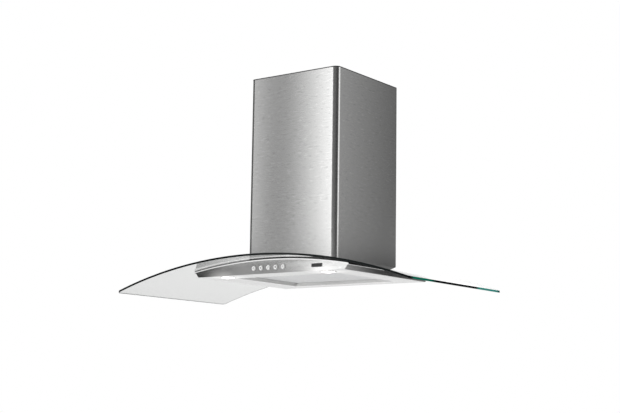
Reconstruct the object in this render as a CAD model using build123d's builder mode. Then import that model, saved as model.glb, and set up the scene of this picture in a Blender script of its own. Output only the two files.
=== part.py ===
from build123d import *
import os
from math import asin, atan2, cos, degrees, sin, sqrt

os.makedirs("parts", exist_ok=True)

# Curved-glass chimney range hood for a wall, all sizes in millimetres.
# X runs to the right, Y back to the wall and Z up. The wall is the plane Y = 0, X = 0 is the
# middle of the hood, and Z = 0 is the lower rim of the steel body. A "depth" is a distance
# in front of the wall, so it points along -Y.

# ---------------------------------------------------------------- driving dimensions

# Glass canopy: one sheet bent about an axis that runs from the wall to the room
glass_width = 900.0
glass_depth = 440.0
glass_thickness = 5.0
glass_radius = 1390.0
glass_apex = 43.0
glass_corner = 8.0
glass_arris = 0.6
glass_notch_gap = 3.0

# Steel body under the glass
body_rim_width = 460.0
body_side_lean = 10.0
body_depth = 370.0
body_sheet = 1.2
seal_thickness = 3.0
seal_width = 12.0
seal_fit_gap = 0.1
deck_lip_proud = 1.0
deck_lip_height = 3.2
panel_gap = 0.2

# Clamps that hold the glass on the body
stud_box_gap = 16.0
stud_depths = (60.0, 220.0)
stud_radius = 3.0
stud_head_radius = 5.5
stud_head_thickness = 1.2
stud_head_gap = 0.05
stud_end_proud = 2.5
stud_hole_gap = 0.05
bush_flange_radius = 10.0
bush_flange_thickness = 1.5
bush_sleeve_radius = 5.8
bush_play = 0.2
bush_squeeze_gap = 0.1
nut_flats = 10.0
nut_height = 6.0
nut_flange_radius = 6.8
nut_flange_thickness = 1.2

# Push buttons in the fascia
button_count = 5
button_pitch = 23.0
button_height = 15.0
button_cap_radius = 5.2
button_cap_length = 9.2
button_proud = 2.2
button_edge_round = 0.6
button_collar_radius = 5.8
button_collar_thickness = 1.5
button_stem_radius = 2.0
button_travel = 2.0
button_end_gap = 1.3
button_play = 0.1
bezel_flange_radius = 7.0
bezel_flange_thickness = 1.0
bezel_wall = 0.8
bezel_sleeve_length = 4.0
bezel_fit_gap = 0.1
bezel_round = 0.3

# Switch board behind the buttons
switch_housing_width = 128.0
switch_housing_height = 23.0
switch_housing_depth = 21.8
switch_housing_wall = 1.6
board_thickness = 1.6
board_margin = 0.6
board_boss_radius = 3.0
board_boss_height = 1.6
switch_width = 12.0
switch_depth = 6.2
switch_bore_gap = 0.15
switch_bore_floor = 1.4

# Bare plate on the fascia
badge_width = 33.0
badge_height = 10.6
badge_thickness = 0.8
badge_offset = 148.0
badge_lift = 13.6
badge_corner = 1.0

# Grease filter cassette in a recess of the underside
filter_width = 318.0
filter_length = 258.0
filter_thickness = 9.5
filter_front_depth = 299.0
filter_side_gap = 1.0
filter_rear_gap = 3.0
filter_corner = 4.0
filter_rim_width = 12.0
filter_rim_wall = 1.2
filter_lip = 1.0
filter_recess = 8.0
filter_fit_gap = 0.2
grille_thickness = 0.8
grille_slot_length = 14.0
grille_slot_width = 5.0
grille_pitch_x = 17.0
grille_pitch_y = 10.0
grille_columns = 16
grille_rows = 20
recess_wall_height = 18.0
recess_corner = 2.0
hinge_pin_radius = 2.0
hinge_pin_length = 5.0
hinge_pin_inset = 3.0
hinge_pin_gap = 0.08
magnet_length = 24.0
magnet_width = 9.0
magnet_height = 4.0
magnet_offset = 90.0
pull_width = 54.0
pull_reach = 12.0
pull_drop = 5.0
pull_sheet = 1.0

# Lamps in the underside
lamp_end_gap = 72.0
lamp_front_gap = 33.0
lamp_hole_radius = 20.0
lamp_bezel_radius = 23.0
lamp_bezel_bore = 17.0
lamp_bezel_thickness = 1.2
lamp_sleeve_gap = 0.2
lamp_sleeve_wall = 0.8
lamp_sleeve_height = 5.0
lamp_fit_gap = 0.1
lamp_lens_thickness = 2.6
lamp_can_height = 14.0
lamp_can_wall = 1.2
lamp_board_thickness = 1.6

# Telescopic flue covers
flue_width = 280.0
flue_depth = 282.0
flue_top = 532.0
flue_sheet = 1.0
flue_corner = 14.0
flue_return = 15.0
flue_slide_gap = 1.0
flue_top_step = 1.0
flue_glass_gap = 0.2
flue_rest_gap = 0.3
vent_rows = 6
vent_pitch = 11.0
vent_length = 150.0
vent_width = 4.0
vent_drop = 60.0

# Bracket that fixes the upper cover to the wall
flue_strap_sheet = 1.5
flue_strap_height = 30.0
flue_strap_drop = 5.0
flue_strap_side_gap = 6.0
flue_strap_foot_inset = 3.0
flue_strap_hole_radius = 2.75
flue_strap_hole_offset = 80.0
flue_screw_radius = 2.0
flue_screw_head_radius = 3.8
flue_screw_head_height = 2.4
flue_screw_reach = 0.6

# Blower box that stands on the body inside the chimney
box_flue_gap = 35.0
box_front_depth = 256.0
box_rear_depth = 3.2
box_top = 262.0
box_sheet = 1.2
box_window_margin = 10.0

# Brackets on the box that carry the flue covers
rest_sheet = 1.5
rest_width = 40.0
rest_depth = 140.0
rest_shelf = 71.5
rest_leg = 21.5

# Hook bracket on the wall
wall_strap_overhang = 16.0
wall_strap_height = 40.0
wall_strap_sheet = 1.5
wall_strap_bottom = 200.0
wall_hole_end_gap = 8.0
wall_hole_rise = 12.0
wall_hole_radius = 2.75
hook_offset = 60.0
hook_width = 30.0
hook_lift = 25.0
hook_reach = 5.0
hook_upstand = 7.5
hook_slot_play = 2.0
hook_slot_height = 12.0
hook_rest_gap = 0.1

# Centrifugal blower: scroll, impeller and motor on one axis parallel to X
fan_depth = 105.0
fan_height = 150.0
scroll_wall = 2.0
scroll_radius = 84.0
scroll_growth = 6.0
inlet_radius = 62.0
inlet_throat_radius = 56.0
inlet_ring_radius = 74.0
inlet_ring_height = 8.0
inlet_ring_wall = 2.0
impeller_radius = 75.0
impeller_blade_depth = 13.0
impeller_blade_thickness = 1.0
impeller_blade_angle = 32.0
impeller_blades = 36
impeller_end_gap = 5.0
impeller_plate = 2.0
impeller_hub_radius = 11.0
impeller_hub_length = 20.0
shaft_radius = 4.0
shaft_end_proud = 1.0
shaft_hole_radius = 14.0
shaft_running_gap = 0.05
motor_radius = 44.0
motor_length = 46.0
motor_side_gap = 8.8
motor_wall = 2.0
bearing_radius = 8.0
bearing_length = 8.0
bearing_boss_wall = 3.0
stator_length = 24.0
stator_gap = 0.1
rotor_radius = 23.0
rotor_length = 26.0
rotor_air_gap = 0.5

# Outlet collar with its two damper flaps
collar_radius = 75.0
collar_wall = 2.0
collar_height = 50.0
collar_flange_radius = 82.0
collar_flange_thickness = 2.0
collar_ledge_width = 4.0
collar_ledge_thickness = 2.0
damper_rise = 30.0
damper_pin_radius = 2.0
damper_pin_recess = 0.5
damper_pin_gap = 0.08
damper_knuckle_radius = 3.5
damper_knuckle_length = 24.0
damper_knuckle_gap = 1.0
damper_flap_thickness = 1.2
damper_flap_gap = 1.0
damper_flap_start = 4.0
damper_rest_gap = 0.3

# Control box on top of the blower box
control_width = 100.0
control_length = 62.0
control_height = 35.0
control_wall = 2.0
control_rear_depth = 8.0
control_cover_thickness = 2.5
control_corner = 3.0
gland_offset = -28.0
gland_bore_radius = 4.0
gland_thread_radius = 8.0
gland_hex_flats = 20.0
gland_hex_height = 6.0
gland_dome_radius = 8.5
gland_dome_height = 10.0
gland_dome_round = 2.0
gland_tail = 6.0
capacitor_length = 38.0
capacitor_width = 20.0
capacitor_height = 26.0
capacitor_offset = 22.0
capacitor_corner = 2.0

# ---------------------------------------------------------------- what follows from them

arc_centre = glass_apex - glass_radius
glass_under_radius = glass_radius - glass_thickness
deck_radius = glass_under_radius - seal_thickness
deck_under_radius = deck_radius - body_sheet
rim_half = body_rim_width / 2
top_half = rim_half + body_side_lean
lip_half = top_half + deck_lip_proud
lip_depth = body_depth + deck_lip_proud

box_half = flue_width / 2 - box_flue_gap
box_width = 2 * box_half
box_inner_half = box_half - box_sheet
stud_offset = box_half + stud_box_gap
notch_width = box_width + 2 * glass_notch_gap
notch_depth = box_front_depth + glass_notch_gap
window_half = box_half - box_window_margin
window_rear = box_rear_depth + box_window_margin
window_front = box_front_depth - box_window_margin

opening_width = filter_width + 2 * filter_side_gap
opening_front = filter_front_depth + filter_side_gap
opening_rear = filter_front_depth - filter_length - filter_rear_gap
opening_length = opening_front - opening_rear
opening_middle = (opening_front + opening_rear) / 2
filter_rear_depth = filter_front_depth - filter_length
filter_middle = filter_front_depth - filter_length / 2
filter_top = filter_recess + filter_thickness
hinge_depth = filter_rear_depth + hinge_pin_inset
hinge_height = filter_recess + filter_thickness / 2

scroll_half = box_inner_half - motor_side_gap - motor_length
scroll_width = 2 * scroll_half
collar_depth = fan_depth + (scroll_radius + 2 * scroll_growth + scroll_growth) / 2
damper_height = box_top + damper_rise


def arc_height(radius, x):
    """Height at x of a circle about the canopy's axis."""
    return arc_centre + sqrt(radius * radius - x * x)


def arc_point(radius, x):
    """Point at x of a circle about the canopy's axis, in the XZ plane."""
    return (x, arc_height(radius, x))


def arc_band(outer_radius, inner_radius, half_width):
    """Outline between two circles about the canopy's axis, with upright ends."""
    left, right = -half_width, half_width
    ThreePointArc(arc_point(outer_radius, left), arc_point(outer_radius, 0), arc_point(outer_radius, right))
    Line(arc_point(outer_radius, right), arc_point(inner_radius, right))
    ThreePointArc(arc_point(inner_radius, right), arc_point(inner_radius, 0), arc_point(inner_radius, left))
    Line(arc_point(inner_radius, left), arc_point(outer_radius, left))


def under_arc(radius, half_width, floor):
    """Outline of everything from the height floor up to a circle about the canopy's axis."""
    ThreePointArc(arc_point(radius, -half_width), arc_point(radius, 0), arc_point(radius, half_width))
    Polyline(
        arc_point(radius, half_width),
        (half_width, floor),
        (-half_width, floor),
        arc_point(radius, -half_width),
    )


def wall_outline(top_radius):
    """Outline of an end wall of the body: straight rim, slanted ends and an arched top."""
    ThreePointArc(*(arc_point(top_radius, x) for x in (-top_half, 0, top_half)))
    Polyline(
        arc_point(top_radius, top_half),
        (rim_half, 0),
        (-rim_half, 0),
        arc_point(top_radius, -top_half),
    )


def wall_plane(depth):
    """Plane parallel to the wall, looking into the room, at a depth in front of the wall."""
    return Plane.XZ.offset(depth)


def stud_planes(radius):
    """Planes square to the canopy's arc, on the four stud axes, at one radius."""
    lean = asin(stud_offset / glass_radius)
    planes = []
    for side in (-1, 1):
        for depth in stud_depths:
            out = (side * sin(lean), 0, cos(lean))
            along = (cos(lean), 0, -side * sin(lean))
            origin = (radius * out[0], -depth, arc_centre + radius * out[2])
            planes.append(Plane(origin=origin, x_dir=along, z_dir=out))
    return planes


# ---------------------------------------------------------------- glass canopy and its clamps

with BuildPart() as glass_canopy:
    with BuildSketch(Plane.XZ):
        with BuildLine():
            arc_band(glass_radius, glass_under_radius, glass_width / 2)
        make_face()
    extrude(amount=glass_depth)
    fillet(glass_canopy.edges().filter_by(Axis.Z), glass_corner)
    broad_faces = glass_canopy.faces().filter_by(GeomType.CYLINDER).sort_by(SortBy.AREA)[-2:]
    chamfer(broad_faces.edges(), glass_arris)
    # Notch from the rear edge, hidden by the chimney, that the blower box stands in
    with BuildSketch(Plane.XY):
        with Locations((0, -notch_depth / 2)):
            Rectangle(notch_width, notch_depth)
    extrude(amount=2 * glass_apex, mode=Mode.SUBTRACT)
    with BuildSketch(*stud_planes(glass_under_radius)):
        Circle(bush_sleeve_radius + bush_play)
    extrude(amount=2 * glass_thickness, both=True, mode=Mode.SUBTRACT)
glass_canopy.part.label = "glass_canopy"
export_step(glass_canopy.part, "parts/glass_canopy.step")

# Black rubber frame between the glass and the rim of the body
with BuildPart() as canopy_seal:
    with BuildSketch(Plane.XZ):
        with BuildLine():
            arc_band(glass_under_radius - seal_fit_gap, deck_radius, lip_half)
        make_face()
    extrude(amount=lip_depth)
    with BuildSketch(Plane.XY):
        with Locations((0, -lip_depth / 2)):
            Rectangle(2 * (lip_half - seal_width), lip_depth - 2 * seal_width)
        with Locations((0, -notch_depth / 2)):
            Rectangle(notch_width, notch_depth)
    extrude(amount=2 * glass_apex, mode=Mode.SUBTRACT)
canopy_seal.part.label = "canopy_seal"
export_step(canopy_seal.part, "parts/canopy_seal.step")

# Spool-shaped rubber bushes that keep the steel studs off the glass
with BuildPart() as glass_bushes:
    with BuildSketch(*stud_planes(deck_radius)):
        Circle(bush_flange_radius)
    extrude(amount=seal_thickness - bush_squeeze_gap)
    with BuildSketch(*stud_planes(deck_radius)):
        Circle(bush_sleeve_radius)
    extrude(amount=seal_thickness + glass_thickness + bush_flange_thickness)
    with BuildSketch(*stud_planes(glass_radius)):
        Circle(bush_flange_radius)
    extrude(amount=bush_flange_thickness)
    with BuildSketch(*stud_planes(deck_radius)):
        Circle(stud_radius + bush_play)
    extrude(amount=2 * glass_thickness + seal_thickness, mode=Mode.SUBTRACT)
glass_bushes.part.label = "glass_bushes"
export_step(glass_bushes.part, "parts/glass_bushes.step")

bush_top_radius = glass_radius + bush_flange_thickness
stud_length = bush_top_radius + nut_height + stud_end_proud - deck_under_radius + stud_head_gap

with BuildPart() as clamp_studs:
    with BuildSketch(*stud_planes(deck_under_radius - stud_head_gap)):
        Circle(stud_radius)
    extrude(amount=stud_length)
    with BuildSketch(*stud_planes(deck_under_radius - stud_head_gap)):
        Circle(stud_head_radius)
    extrude(amount=-stud_head_thickness)
clamp_studs.part.label = "clamp_studs"
export_step(clamp_studs.part, "parts/clamp_studs.step")

with BuildPart() as clamp_nuts:
    with BuildSketch(*stud_planes(bush_top_radius)):
        Circle(nut_flange_radius)
    extrude(amount=nut_flange_thickness)
    with BuildSketch(*stud_planes(bush_top_radius)):
        RegularPolygon(nut_flats / 2, 6, major_radius=False)
    extrude(amount=nut_height)
    with BuildSketch(*stud_planes(bush_top_radius)):
        Circle(stud_radius + stud_hole_gap)
    extrude(amount=nut_height, mode=Mode.SUBTRACT)
clamp_nuts.part.label = "clamp_nuts"
export_step(clamp_nuts.part, "parts/clamp_nuts.step")

# ---------------------------------------------------------------- steel body

# Deck: the arched top sheet, with its edges folded down as a lip in front and at both sides
with BuildPart() as body_deck:
    with BuildSketch(wall_plane(body_sheet)):
        with BuildLine():
            arc_band(deck_radius, deck_radius - deck_lip_height, lip_half)
        make_face()
    extrude(amount=lip_depth - body_sheet)
    with BuildSketch(Plane.XZ):
        with BuildLine():
            arc_band(deck_under_radius, deck_under_radius - deck_lip_height, top_half)
        make_face()
    extrude(amount=body_depth, mode=Mode.SUBTRACT)
    with BuildSketch(Plane.XY):
        with Locations((0, -(window_front + window_rear) / 2)):
            Rectangle(2 * window_half, window_front - window_rear)
    extrude(amount=2 * glass_apex, mode=Mode.SUBTRACT)
    with BuildSketch(*stud_planes(deck_radius)):
        Circle(stud_radius + stud_hole_gap)
    extrude(amount=2 * body_sheet, both=True, mode=Mode.SUBTRACT)
body_deck.part.label = "body_deck"
export_step(body_deck.part, "parts/body_deck.step")

# Side walls, slanted in towards the rim
side_top = arc_height(deck_under_radius, top_half)
side_slant = atan2(top_half - rim_half, side_top)
side_across = body_sheet / cos(side_slant)
side_inner_top = arc_height(deck_under_radius, top_half - side_across)

for hand, side in (("left", -1), ("right", 1)):
    with BuildPart() as side_panel:
        with BuildSketch(wall_plane(body_sheet)):
            with BuildLine():
                Polyline(
                    (side * rim_half, 0),
                    (side * top_half, side_top),
                    (side * (top_half - side_across), side_inner_top),
                    (side * (rim_half - side_across), 0),
                    close=True,
                )
            make_face()
        extrude(amount=body_depth - 2 * body_sheet)
    side_panel.part.label = f"side_panel_{hand}"
    export_step(side_panel.part, f"parts/side_panel_{hand}.step")

with BuildPart() as rear_panel:
    with BuildSketch(Plane.XZ):
        with BuildLine():
            wall_outline(deck_radius)
        make_face()
    extrude(amount=body_sheet)
rear_panel.part.label = "rear_panel"
export_step(rear_panel.part, "parts/rear_panel.step")

# ---------------------------------------------------------------- fascia, buttons and badge plate

button_spots = [
    ((number - (button_count - 1) / 2) * button_pitch, button_height) for number in range(button_count)
]
bezel_bore = button_cap_radius + button_play
bezel_sleeve_radius = bezel_bore + bezel_wall

with BuildPart() as front_fascia:
    with BuildSketch(wall_plane(body_depth - body_sheet)):
        with BuildLine():
            wall_outline(deck_under_radius)
        make_face()
        with Locations(*button_spots):
            Circle(bezel_sleeve_radius + bezel_fit_gap, mode=Mode.SUBTRACT)
    extrude(amount=body_sheet)
front_fascia.part.label = "front_fascia"
export_step(front_fascia.part, "parts/front_fascia.step")

with BuildPart() as badge_plate:
    with BuildSketch(wall_plane(body_depth)):
        with Locations((badge_offset, badge_lift)):
            RectangleRounded(badge_width, badge_height, badge_corner)
    extrude(amount=badge_thickness)
badge_plate.part.label = "badge_plate"
export_step(badge_plate.part, "parts/badge_plate.step")

# Bright rings that line the fascia's holes
with BuildPart() as button_bezels:
    with BuildSketch(wall_plane(body_depth)):
        with Locations(*button_spots):
            Circle(bezel_flange_radius)
    extrude(amount=bezel_flange_thickness)
    with BuildSketch(wall_plane(body_depth - bezel_sleeve_length)):
        with Locations(*button_spots):
            Circle(bezel_sleeve_radius)
    extrude(amount=bezel_sleeve_length)
    with BuildSketch(wall_plane(body_depth - bezel_sleeve_length)):
        with Locations(*button_spots):
            Circle(bezel_bore)
    extrude(amount=bezel_sleeve_length + bezel_flange_thickness, mode=Mode.SUBTRACT)
    front_rings = button_bezels.faces().filter_by(Plane.XZ).group_by(Axis.Y)[0]
    fillet(front_rings.edges().filter_by(lambda edge: edge.radius > bezel_sleeve_radius), bezel_round)
button_bezels.part.label = "button_bezels"
export_step(button_bezels.part, "parts/button_bezels.step")

housing_rear = body_depth - body_sheet - switch_housing_depth
board_rear = housing_rear + switch_housing_wall + board_boss_height
board_front = board_rear + board_thickness
cap_front = body_depth + bezel_flange_thickness + button_proud
cap_rear = cap_front - button_cap_length
stem_end = board_front + switch_bore_floor + button_end_gap + button_travel

for number, spot in enumerate(button_spots, 1):
    with BuildPart() as button:
        with BuildSketch(wall_plane(cap_rear)):
            with Locations(spot):
                Circle(button_cap_radius)
        extrude(amount=button_cap_length)
        fillet(button.faces().sort_by(Axis.Y)[0].edges(), button_edge_round)
        # Collar behind the ring, so that the cap can't fall out
        with BuildSketch(wall_plane(cap_rear)):
            with Locations(spot):
                Circle(button_collar_radius)
        extrude(amount=button_collar_thickness)
        with BuildSketch(wall_plane(stem_end)):
            with Locations(spot):
                Circle(button_stem_radius)
        extrude(amount=cap_rear - stem_end)
    button.part.label = f"button_{number}"
    export_step(button.part, f"parts/button_{number}.step")

# Moulded tray behind the fascia that holds the switch board
board_width = switch_housing_width - 2 * (switch_housing_wall + board_margin)
board_height = switch_housing_height - 2 * (switch_housing_wall + board_margin)
boss_pitch_x = board_width - 4 * board_boss_radius
boss_pitch_z = board_height - 2 * board_boss_radius

with BuildPart() as switch_housing:
    with BuildSketch(wall_plane(housing_rear)):
        with Locations((0, button_height)):
            Rectangle(switch_housing_width, switch_housing_height)
    extrude(amount=switch_housing_depth)
    with BuildSketch(wall_plane(housing_rear + switch_housing_wall)):
        with Locations((0, button_height)):
            Rectangle(
                switch_housing_width - 2 * switch_housing_wall,
                switch_housing_height - 2 * switch_housing_wall,
            )
    extrude(amount=switch_housing_depth, mode=Mode.SUBTRACT)
    with BuildSketch(wall_plane(housing_rear)):
        with Locations((0, button_height)):
            with GridLocations(boss_pitch_x, boss_pitch_z, 2, 2):
                Circle(board_boss_radius)
    extrude(amount=switch_housing_wall + board_boss_height)
switch_housing.part.label = "switch_housing"
export_step(switch_housing.part, "parts/switch_housing.step")

with BuildPart() as switch_board:
    with BuildSketch(wall_plane(board_rear)):
        with Locations((0, button_height)):
            Rectangle(board_width, board_height)
    extrude(amount=board_thickness)
switch_board.part.label = "switch_board"
export_step(switch_board.part, "parts/switch_board.step")

# One push switch behind each button, bored for the button's stem
with BuildPart() as push_switches:
    with BuildSketch(wall_plane(board_front)):
        with Locations(*button_spots):
            Rectangle(switch_width, switch_width)
    extrude(amount=switch_depth)
    with BuildSketch(wall_plane(board_front + switch_bore_floor)):
        with Locations(*button_spots):
            Circle(button_stem_radius + switch_bore_gap)
    extrude(amount=switch_depth, mode=Mode.SUBTRACT)
push_switches.part.label = "push_switches"
export_step(push_switches.part, "parts/push_switches.step")

# ---------------------------------------------------------------- underside and grease filter

panel_half = rim_half - side_across - panel_gap
panel_length = body_depth - 2 * (body_sheet + panel_gap)
lamp_depth = body_depth - lamp_front_gap
lamp_spots = [(-(rim_half - lamp_end_gap), -lamp_depth), (rim_half - lamp_end_gap, -lamp_depth)]

# Flat sheet round the filter recess, whose walls are folded up from it
with BuildPart() as underside_panel:
    with BuildSketch(Plane.XY):
        with Locations((0, -body_depth / 2)):
            Rectangle(2 * panel_half, panel_length)
        with Locations(*lamp_spots):
            Circle(lamp_hole_radius, mode=Mode.SUBTRACT)
    extrude(amount=body_sheet)
    with BuildSketch(Plane.XY):
        with Locations((0, -opening_middle)):
            RectangleRounded(
                opening_width + 2 * body_sheet, opening_length + 2 * body_sheet, recess_corner + body_sheet
            )
    extrude(amount=recess_wall_height)
    with BuildSketch(Plane.XY):
        with Locations((0, -opening_middle)):
            RectangleRounded(opening_width, opening_length, recess_corner)
    extrude(amount=recess_wall_height, mode=Mode.SUBTRACT)
    with BuildSketch(Plane.YZ):
        with Locations((-hinge_depth, hinge_height)):
            Circle(hinge_pin_radius + hinge_pin_gap)
    extrude(amount=opening_width, both=True, mode=Mode.SUBTRACT)
underside_panel.part.label = "underside_panel"
export_step(underside_panel.part, "parts/underside_panel.step")

# Channel-section rim of the filter cassette
with BuildPart() as filter_frame:
    with BuildSketch(Plane.XY.offset(filter_recess)):
        with Locations((0, -filter_middle)):
            RectangleRounded(filter_width, filter_length, filter_corner)
            Rectangle(
                filter_width - 2 * filter_rim_width,
                filter_length - 2 * filter_rim_width,
                mode=Mode.SUBTRACT,
            )
    extrude(amount=filter_thickness)
    with BuildSketch(Plane.XY.offset(filter_recess + filter_lip)):
        with Locations((0, -filter_middle)):
            RectangleRounded(
                filter_width - 2 * filter_rim_wall,
                filter_length - 2 * filter_rim_wall,
                filter_corner - filter_rim_wall,
            )
    extrude(amount=filter_thickness - 2 * filter_lip, mode=Mode.SUBTRACT)
filter_frame.part.label = "filter_frame"
export_step(filter_frame.part, "parts/filter_frame.step")

# Perforated sheets below and above the mesh pack
inner_width = filter_width - 2 * (filter_rim_wall + filter_fit_gap)
inner_length = filter_length - 2 * (filter_rim_wall + filter_fit_gap)
lower_grille_bottom = filter_recess + filter_lip
upper_grille_bottom = filter_top - filter_lip - grille_thickness

for level, bottom in (("lower", lower_grille_bottom), ("upper", upper_grille_bottom)):
    with BuildPart() as filter_grille:
        with BuildSketch(Plane.XY.offset(bottom)):
            with Locations((0, -filter_middle)):
                RectangleRounded(inner_width, inner_length, filter_corner - filter_rim_wall)
                with GridLocations(grille_pitch_x, grille_pitch_y, grille_columns, grille_rows):
                    SlotOverall(grille_slot_length, grille_slot_width, mode=Mode.SUBTRACT)
        extrude(amount=grille_thickness)
    filter_grille.part.label = f"filter_grille_{level}"
    export_step(filter_grille.part, f"parts/filter_grille_{level}.step")

mesh_bottom = lower_grille_bottom + grille_thickness
with BuildPart() as filter_mesh:
    with BuildSketch(Plane.XY.offset(mesh_bottom)):
        with Locations((0, -filter_middle)):
            RectangleRounded(inner_width, inner_length, filter_corner - filter_rim_wall)
    extrude(amount=upper_grille_bottom - mesh_bottom)
filter_mesh.part.label = "filter_mesh"
export_step(filter_mesh.part, "parts/filter_mesh.step")

# Bent tab under the front of the rim, for the fingers
with BuildPart() as filter_pull:
    with BuildSketch(Plane.YZ):
        with BuildLine():
            front = -filter_front_depth + filter_rim_width
            Polyline(
                (front - filter_rim_wall, filter_recess),
                (front - filter_rim_wall, filter_recess - pull_sheet),
                (front - filter_rim_wall - pull_reach / 2, filter_recess - pull_sheet),
                (front - filter_rim_wall - pull_reach / 2, filter_recess),
                close=True,
            )
        make_face()
        with BuildLine():
            root = front - filter_rim_wall
            Polyline(
                (root, filter_recess),
                (root + pull_reach / 2, filter_recess - pull_drop),
                (root + pull_reach / 2, filter_recess - pull_drop - pull_sheet),
                (root - pull_sheet, filter_recess - pull_sheet),
                close=True,
            )
        make_face()
    extrude(amount=pull_width / 2, both=True)
filter_pull.part.label = "filter_pull"
export_step(filter_pull.part, "parts/filter_pull.step")

# Pins at the rear corners of the cassette that turn in the recess's side walls
with BuildPart() as filter_hinge_pins:
    for side in (-1, 1):
        with BuildSketch(Plane.YZ.offset(side * filter_width / 2)):
            with Locations((-hinge_depth, hinge_height)):
                Circle(hinge_pin_radius)
        extrude(amount=side * hinge_pin_length)
filter_hinge_pins.part.label = "filter_hinge_pins"
export_step(filter_hinge_pins.part, "parts/filter_hinge_pins.step")

# Magnets on the recess's front wall that hold the cassette shut
with BuildPart() as filter_magnets:
    with BuildSketch(Plane.XY.offset(recess_wall_height)):
        with Locations((0, -(opening_front + body_sheet) + magnet_width / 2)):
            with GridLocations(2 * magnet_offset, 1, 2, 1):
                Rectangle(magnet_length, magnet_width)
    extrude(amount=magnet_height)
filter_magnets.part.label = "filter_magnets"
export_step(filter_magnets.part, "parts/filter_magnets.step")

# ---------------------------------------------------------------- lamps

sleeve_radius = lamp_hole_radius - lamp_sleeve_gap
sleeve_bore = sleeve_radius - lamp_sleeve_wall
insert_radius = sleeve_bore - lamp_fit_gap
lamp_can_bottom = lamp_lens_thickness
lamp_can_top = lamp_can_bottom + lamp_can_height

for hand, spot in (("left", lamp_spots[0]), ("right", lamp_spots[1])):
    with BuildPart() as lamp_bezel:
        with BuildSketch(Plane.XY.offset(-lamp_bezel_thickness)):
            with Locations(spot):
                Circle(lamp_bezel_radius)
        extrude(amount=lamp_bezel_thickness)
        with BuildSketch(Plane.XY):
            with Locations(spot):
                Circle(sleeve_radius)
        extrude(amount=lamp_sleeve_height)
        with BuildSketch(Plane.XY):
            with Locations(spot):
                Circle(sleeve_bore)
        extrude(amount=lamp_sleeve_height, mode=Mode.SUBTRACT)
        with BuildSketch(Plane.XY.offset(-lamp_bezel_thickness)):
            with Locations(spot):
                Circle(lamp_bezel_bore)
        extrude(amount=lamp_bezel_thickness, mode=Mode.SUBTRACT)
    lamp_bezel.part.label = f"lamp_bezel_{hand}"
    export_step(lamp_bezel.part, f"parts/lamp_bezel_{hand}.step")

    with BuildPart() as lamp_lens:
        with BuildSketch(Plane.XY):
            with Locations(spot):
                Circle(insert_radius)
        extrude(amount=lamp_lens_thickness)
    lamp_lens.part.label = f"lamp_lens_{hand}"
    export_step(lamp_lens.part, f"parts/lamp_lens_{hand}.step")

    with BuildPart() as lamp_can:
        with BuildSketch(Plane.XY.offset(lamp_can_bottom)):
            with Locations(spot):
                Circle(insert_radius)
        extrude(amount=lamp_can_height)
        with BuildSketch(Plane.XY.offset(lamp_can_bottom)):
            with Locations(spot):
                Circle(insert_radius - lamp_can_wall)
        extrude(amount=lamp_can_height - lamp_can_wall, mode=Mode.SUBTRACT)
    lamp_can.part.label = f"lamp_can_{hand}"
    export_step(lamp_can.part, f"parts/lamp_can_{hand}.step")

    with BuildPart() as lamp_board:
        with BuildSketch(Plane.XY.offset(lamp_can_top - lamp_can_wall - lamp_board_thickness)):
            with Locations(spot):
                Circle(insert_radius - lamp_can_wall - lamp_fit_gap)
        extrude(amount=lamp_board_thickness)
    lamp_board.part.label = f"lamp_board_{hand}"
    export_step(lamp_board.part, f"parts/lamp_board_{hand}.step")

# ---------------------------------------------------------------- flue covers


def flue_outline(half_width, front, rear, corner):
    """Folded cover in plan: front, two sides and two rear returns, open at the wall."""
    inner_half = half_width - flue_sheet
    inner_front = front - flue_sheet
    inner_rear = rear + flue_sheet
    tip = inner_half - flue_return
    FilletPolyline(
        (-half_width, -rear),
        (-half_width, -front),
        (half_width, -front),
        (half_width, -rear),
        radius=corner,
    )
    FilletPolyline(
        (-inner_half, -inner_rear),
        (-inner_half, -inner_front),
        (inner_half, -inner_front),
        (inner_half, -inner_rear),
        radius=corner - flue_sheet,
    )
    for side in (-1, 1):
        Polyline(
            (side * half_width, -rear),
            (side * tip, -rear),
            (side * tip, -inner_rear),
            (side * inner_half, -inner_rear),
        )


lower_inner_half = flue_width / 2 - flue_sheet
upper_half = lower_inner_half - flue_slide_gap
upper_front = flue_depth - flue_sheet - flue_slide_gap
upper_rear = flue_sheet + flue_slide_gap
upper_bottom = rest_shelf + flue_rest_gap
upper_top = flue_top - flue_top_step

with BuildPart() as lower_flue_cover:
    with BuildSketch(Plane.XY):
        with BuildLine():
            flue_outline(flue_width / 2, flue_depth, 0, flue_corner)
        make_face()
    extrude(amount=flue_top)
    with BuildSketch(Plane.XZ):
        with BuildLine():
            under_arc(glass_radius + flue_glass_gap, flue_width, -glass_apex)
        make_face()
    extrude(amount=2 * flue_depth, both=True, mode=Mode.SUBTRACT)
lower_flue_cover.part.label = "lower_flue_cover"
export_step(lower_flue_cover.part, "parts/lower_flue_cover.step")

with BuildPart() as upper_flue_cover:
    with BuildSketch(Plane.XY.offset(upper_bottom)):
        with BuildLine():
            flue_outline(upper_half, upper_front, upper_rear, flue_corner - flue_sheet - flue_slide_gap)
        make_face()
    extrude(amount=upper_top - upper_bottom)
    # Rows of vent slots in both sides, near the top
    with BuildSketch(Plane.YZ):
        with Locations((-flue_depth / 2, upper_top - vent_drop)):
            with GridLocations(1, vent_pitch, 1, vent_rows):
                SlotOverall(vent_length, vent_width)
    extrude(amount=flue_width, both=True, mode=Mode.SUBTRACT)
    # Screw holes through the rear returns
    strap_middle = upper_top - flue_strap_drop - flue_strap_height / 2
    screw_offset = upper_half - flue_sheet - flue_return / 2
    with BuildSketch(Plane.XZ):
        with Locations((-screw_offset, strap_middle), (screw_offset, strap_middle)):
            Circle(flue_screw_radius)
    extrude(amount=flue_depth / 2, mode=Mode.SUBTRACT)
upper_flue_cover.part.label = "upper_flue_cover"
export_step(upper_flue_cover.part, "parts/upper_flue_cover.step")

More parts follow.
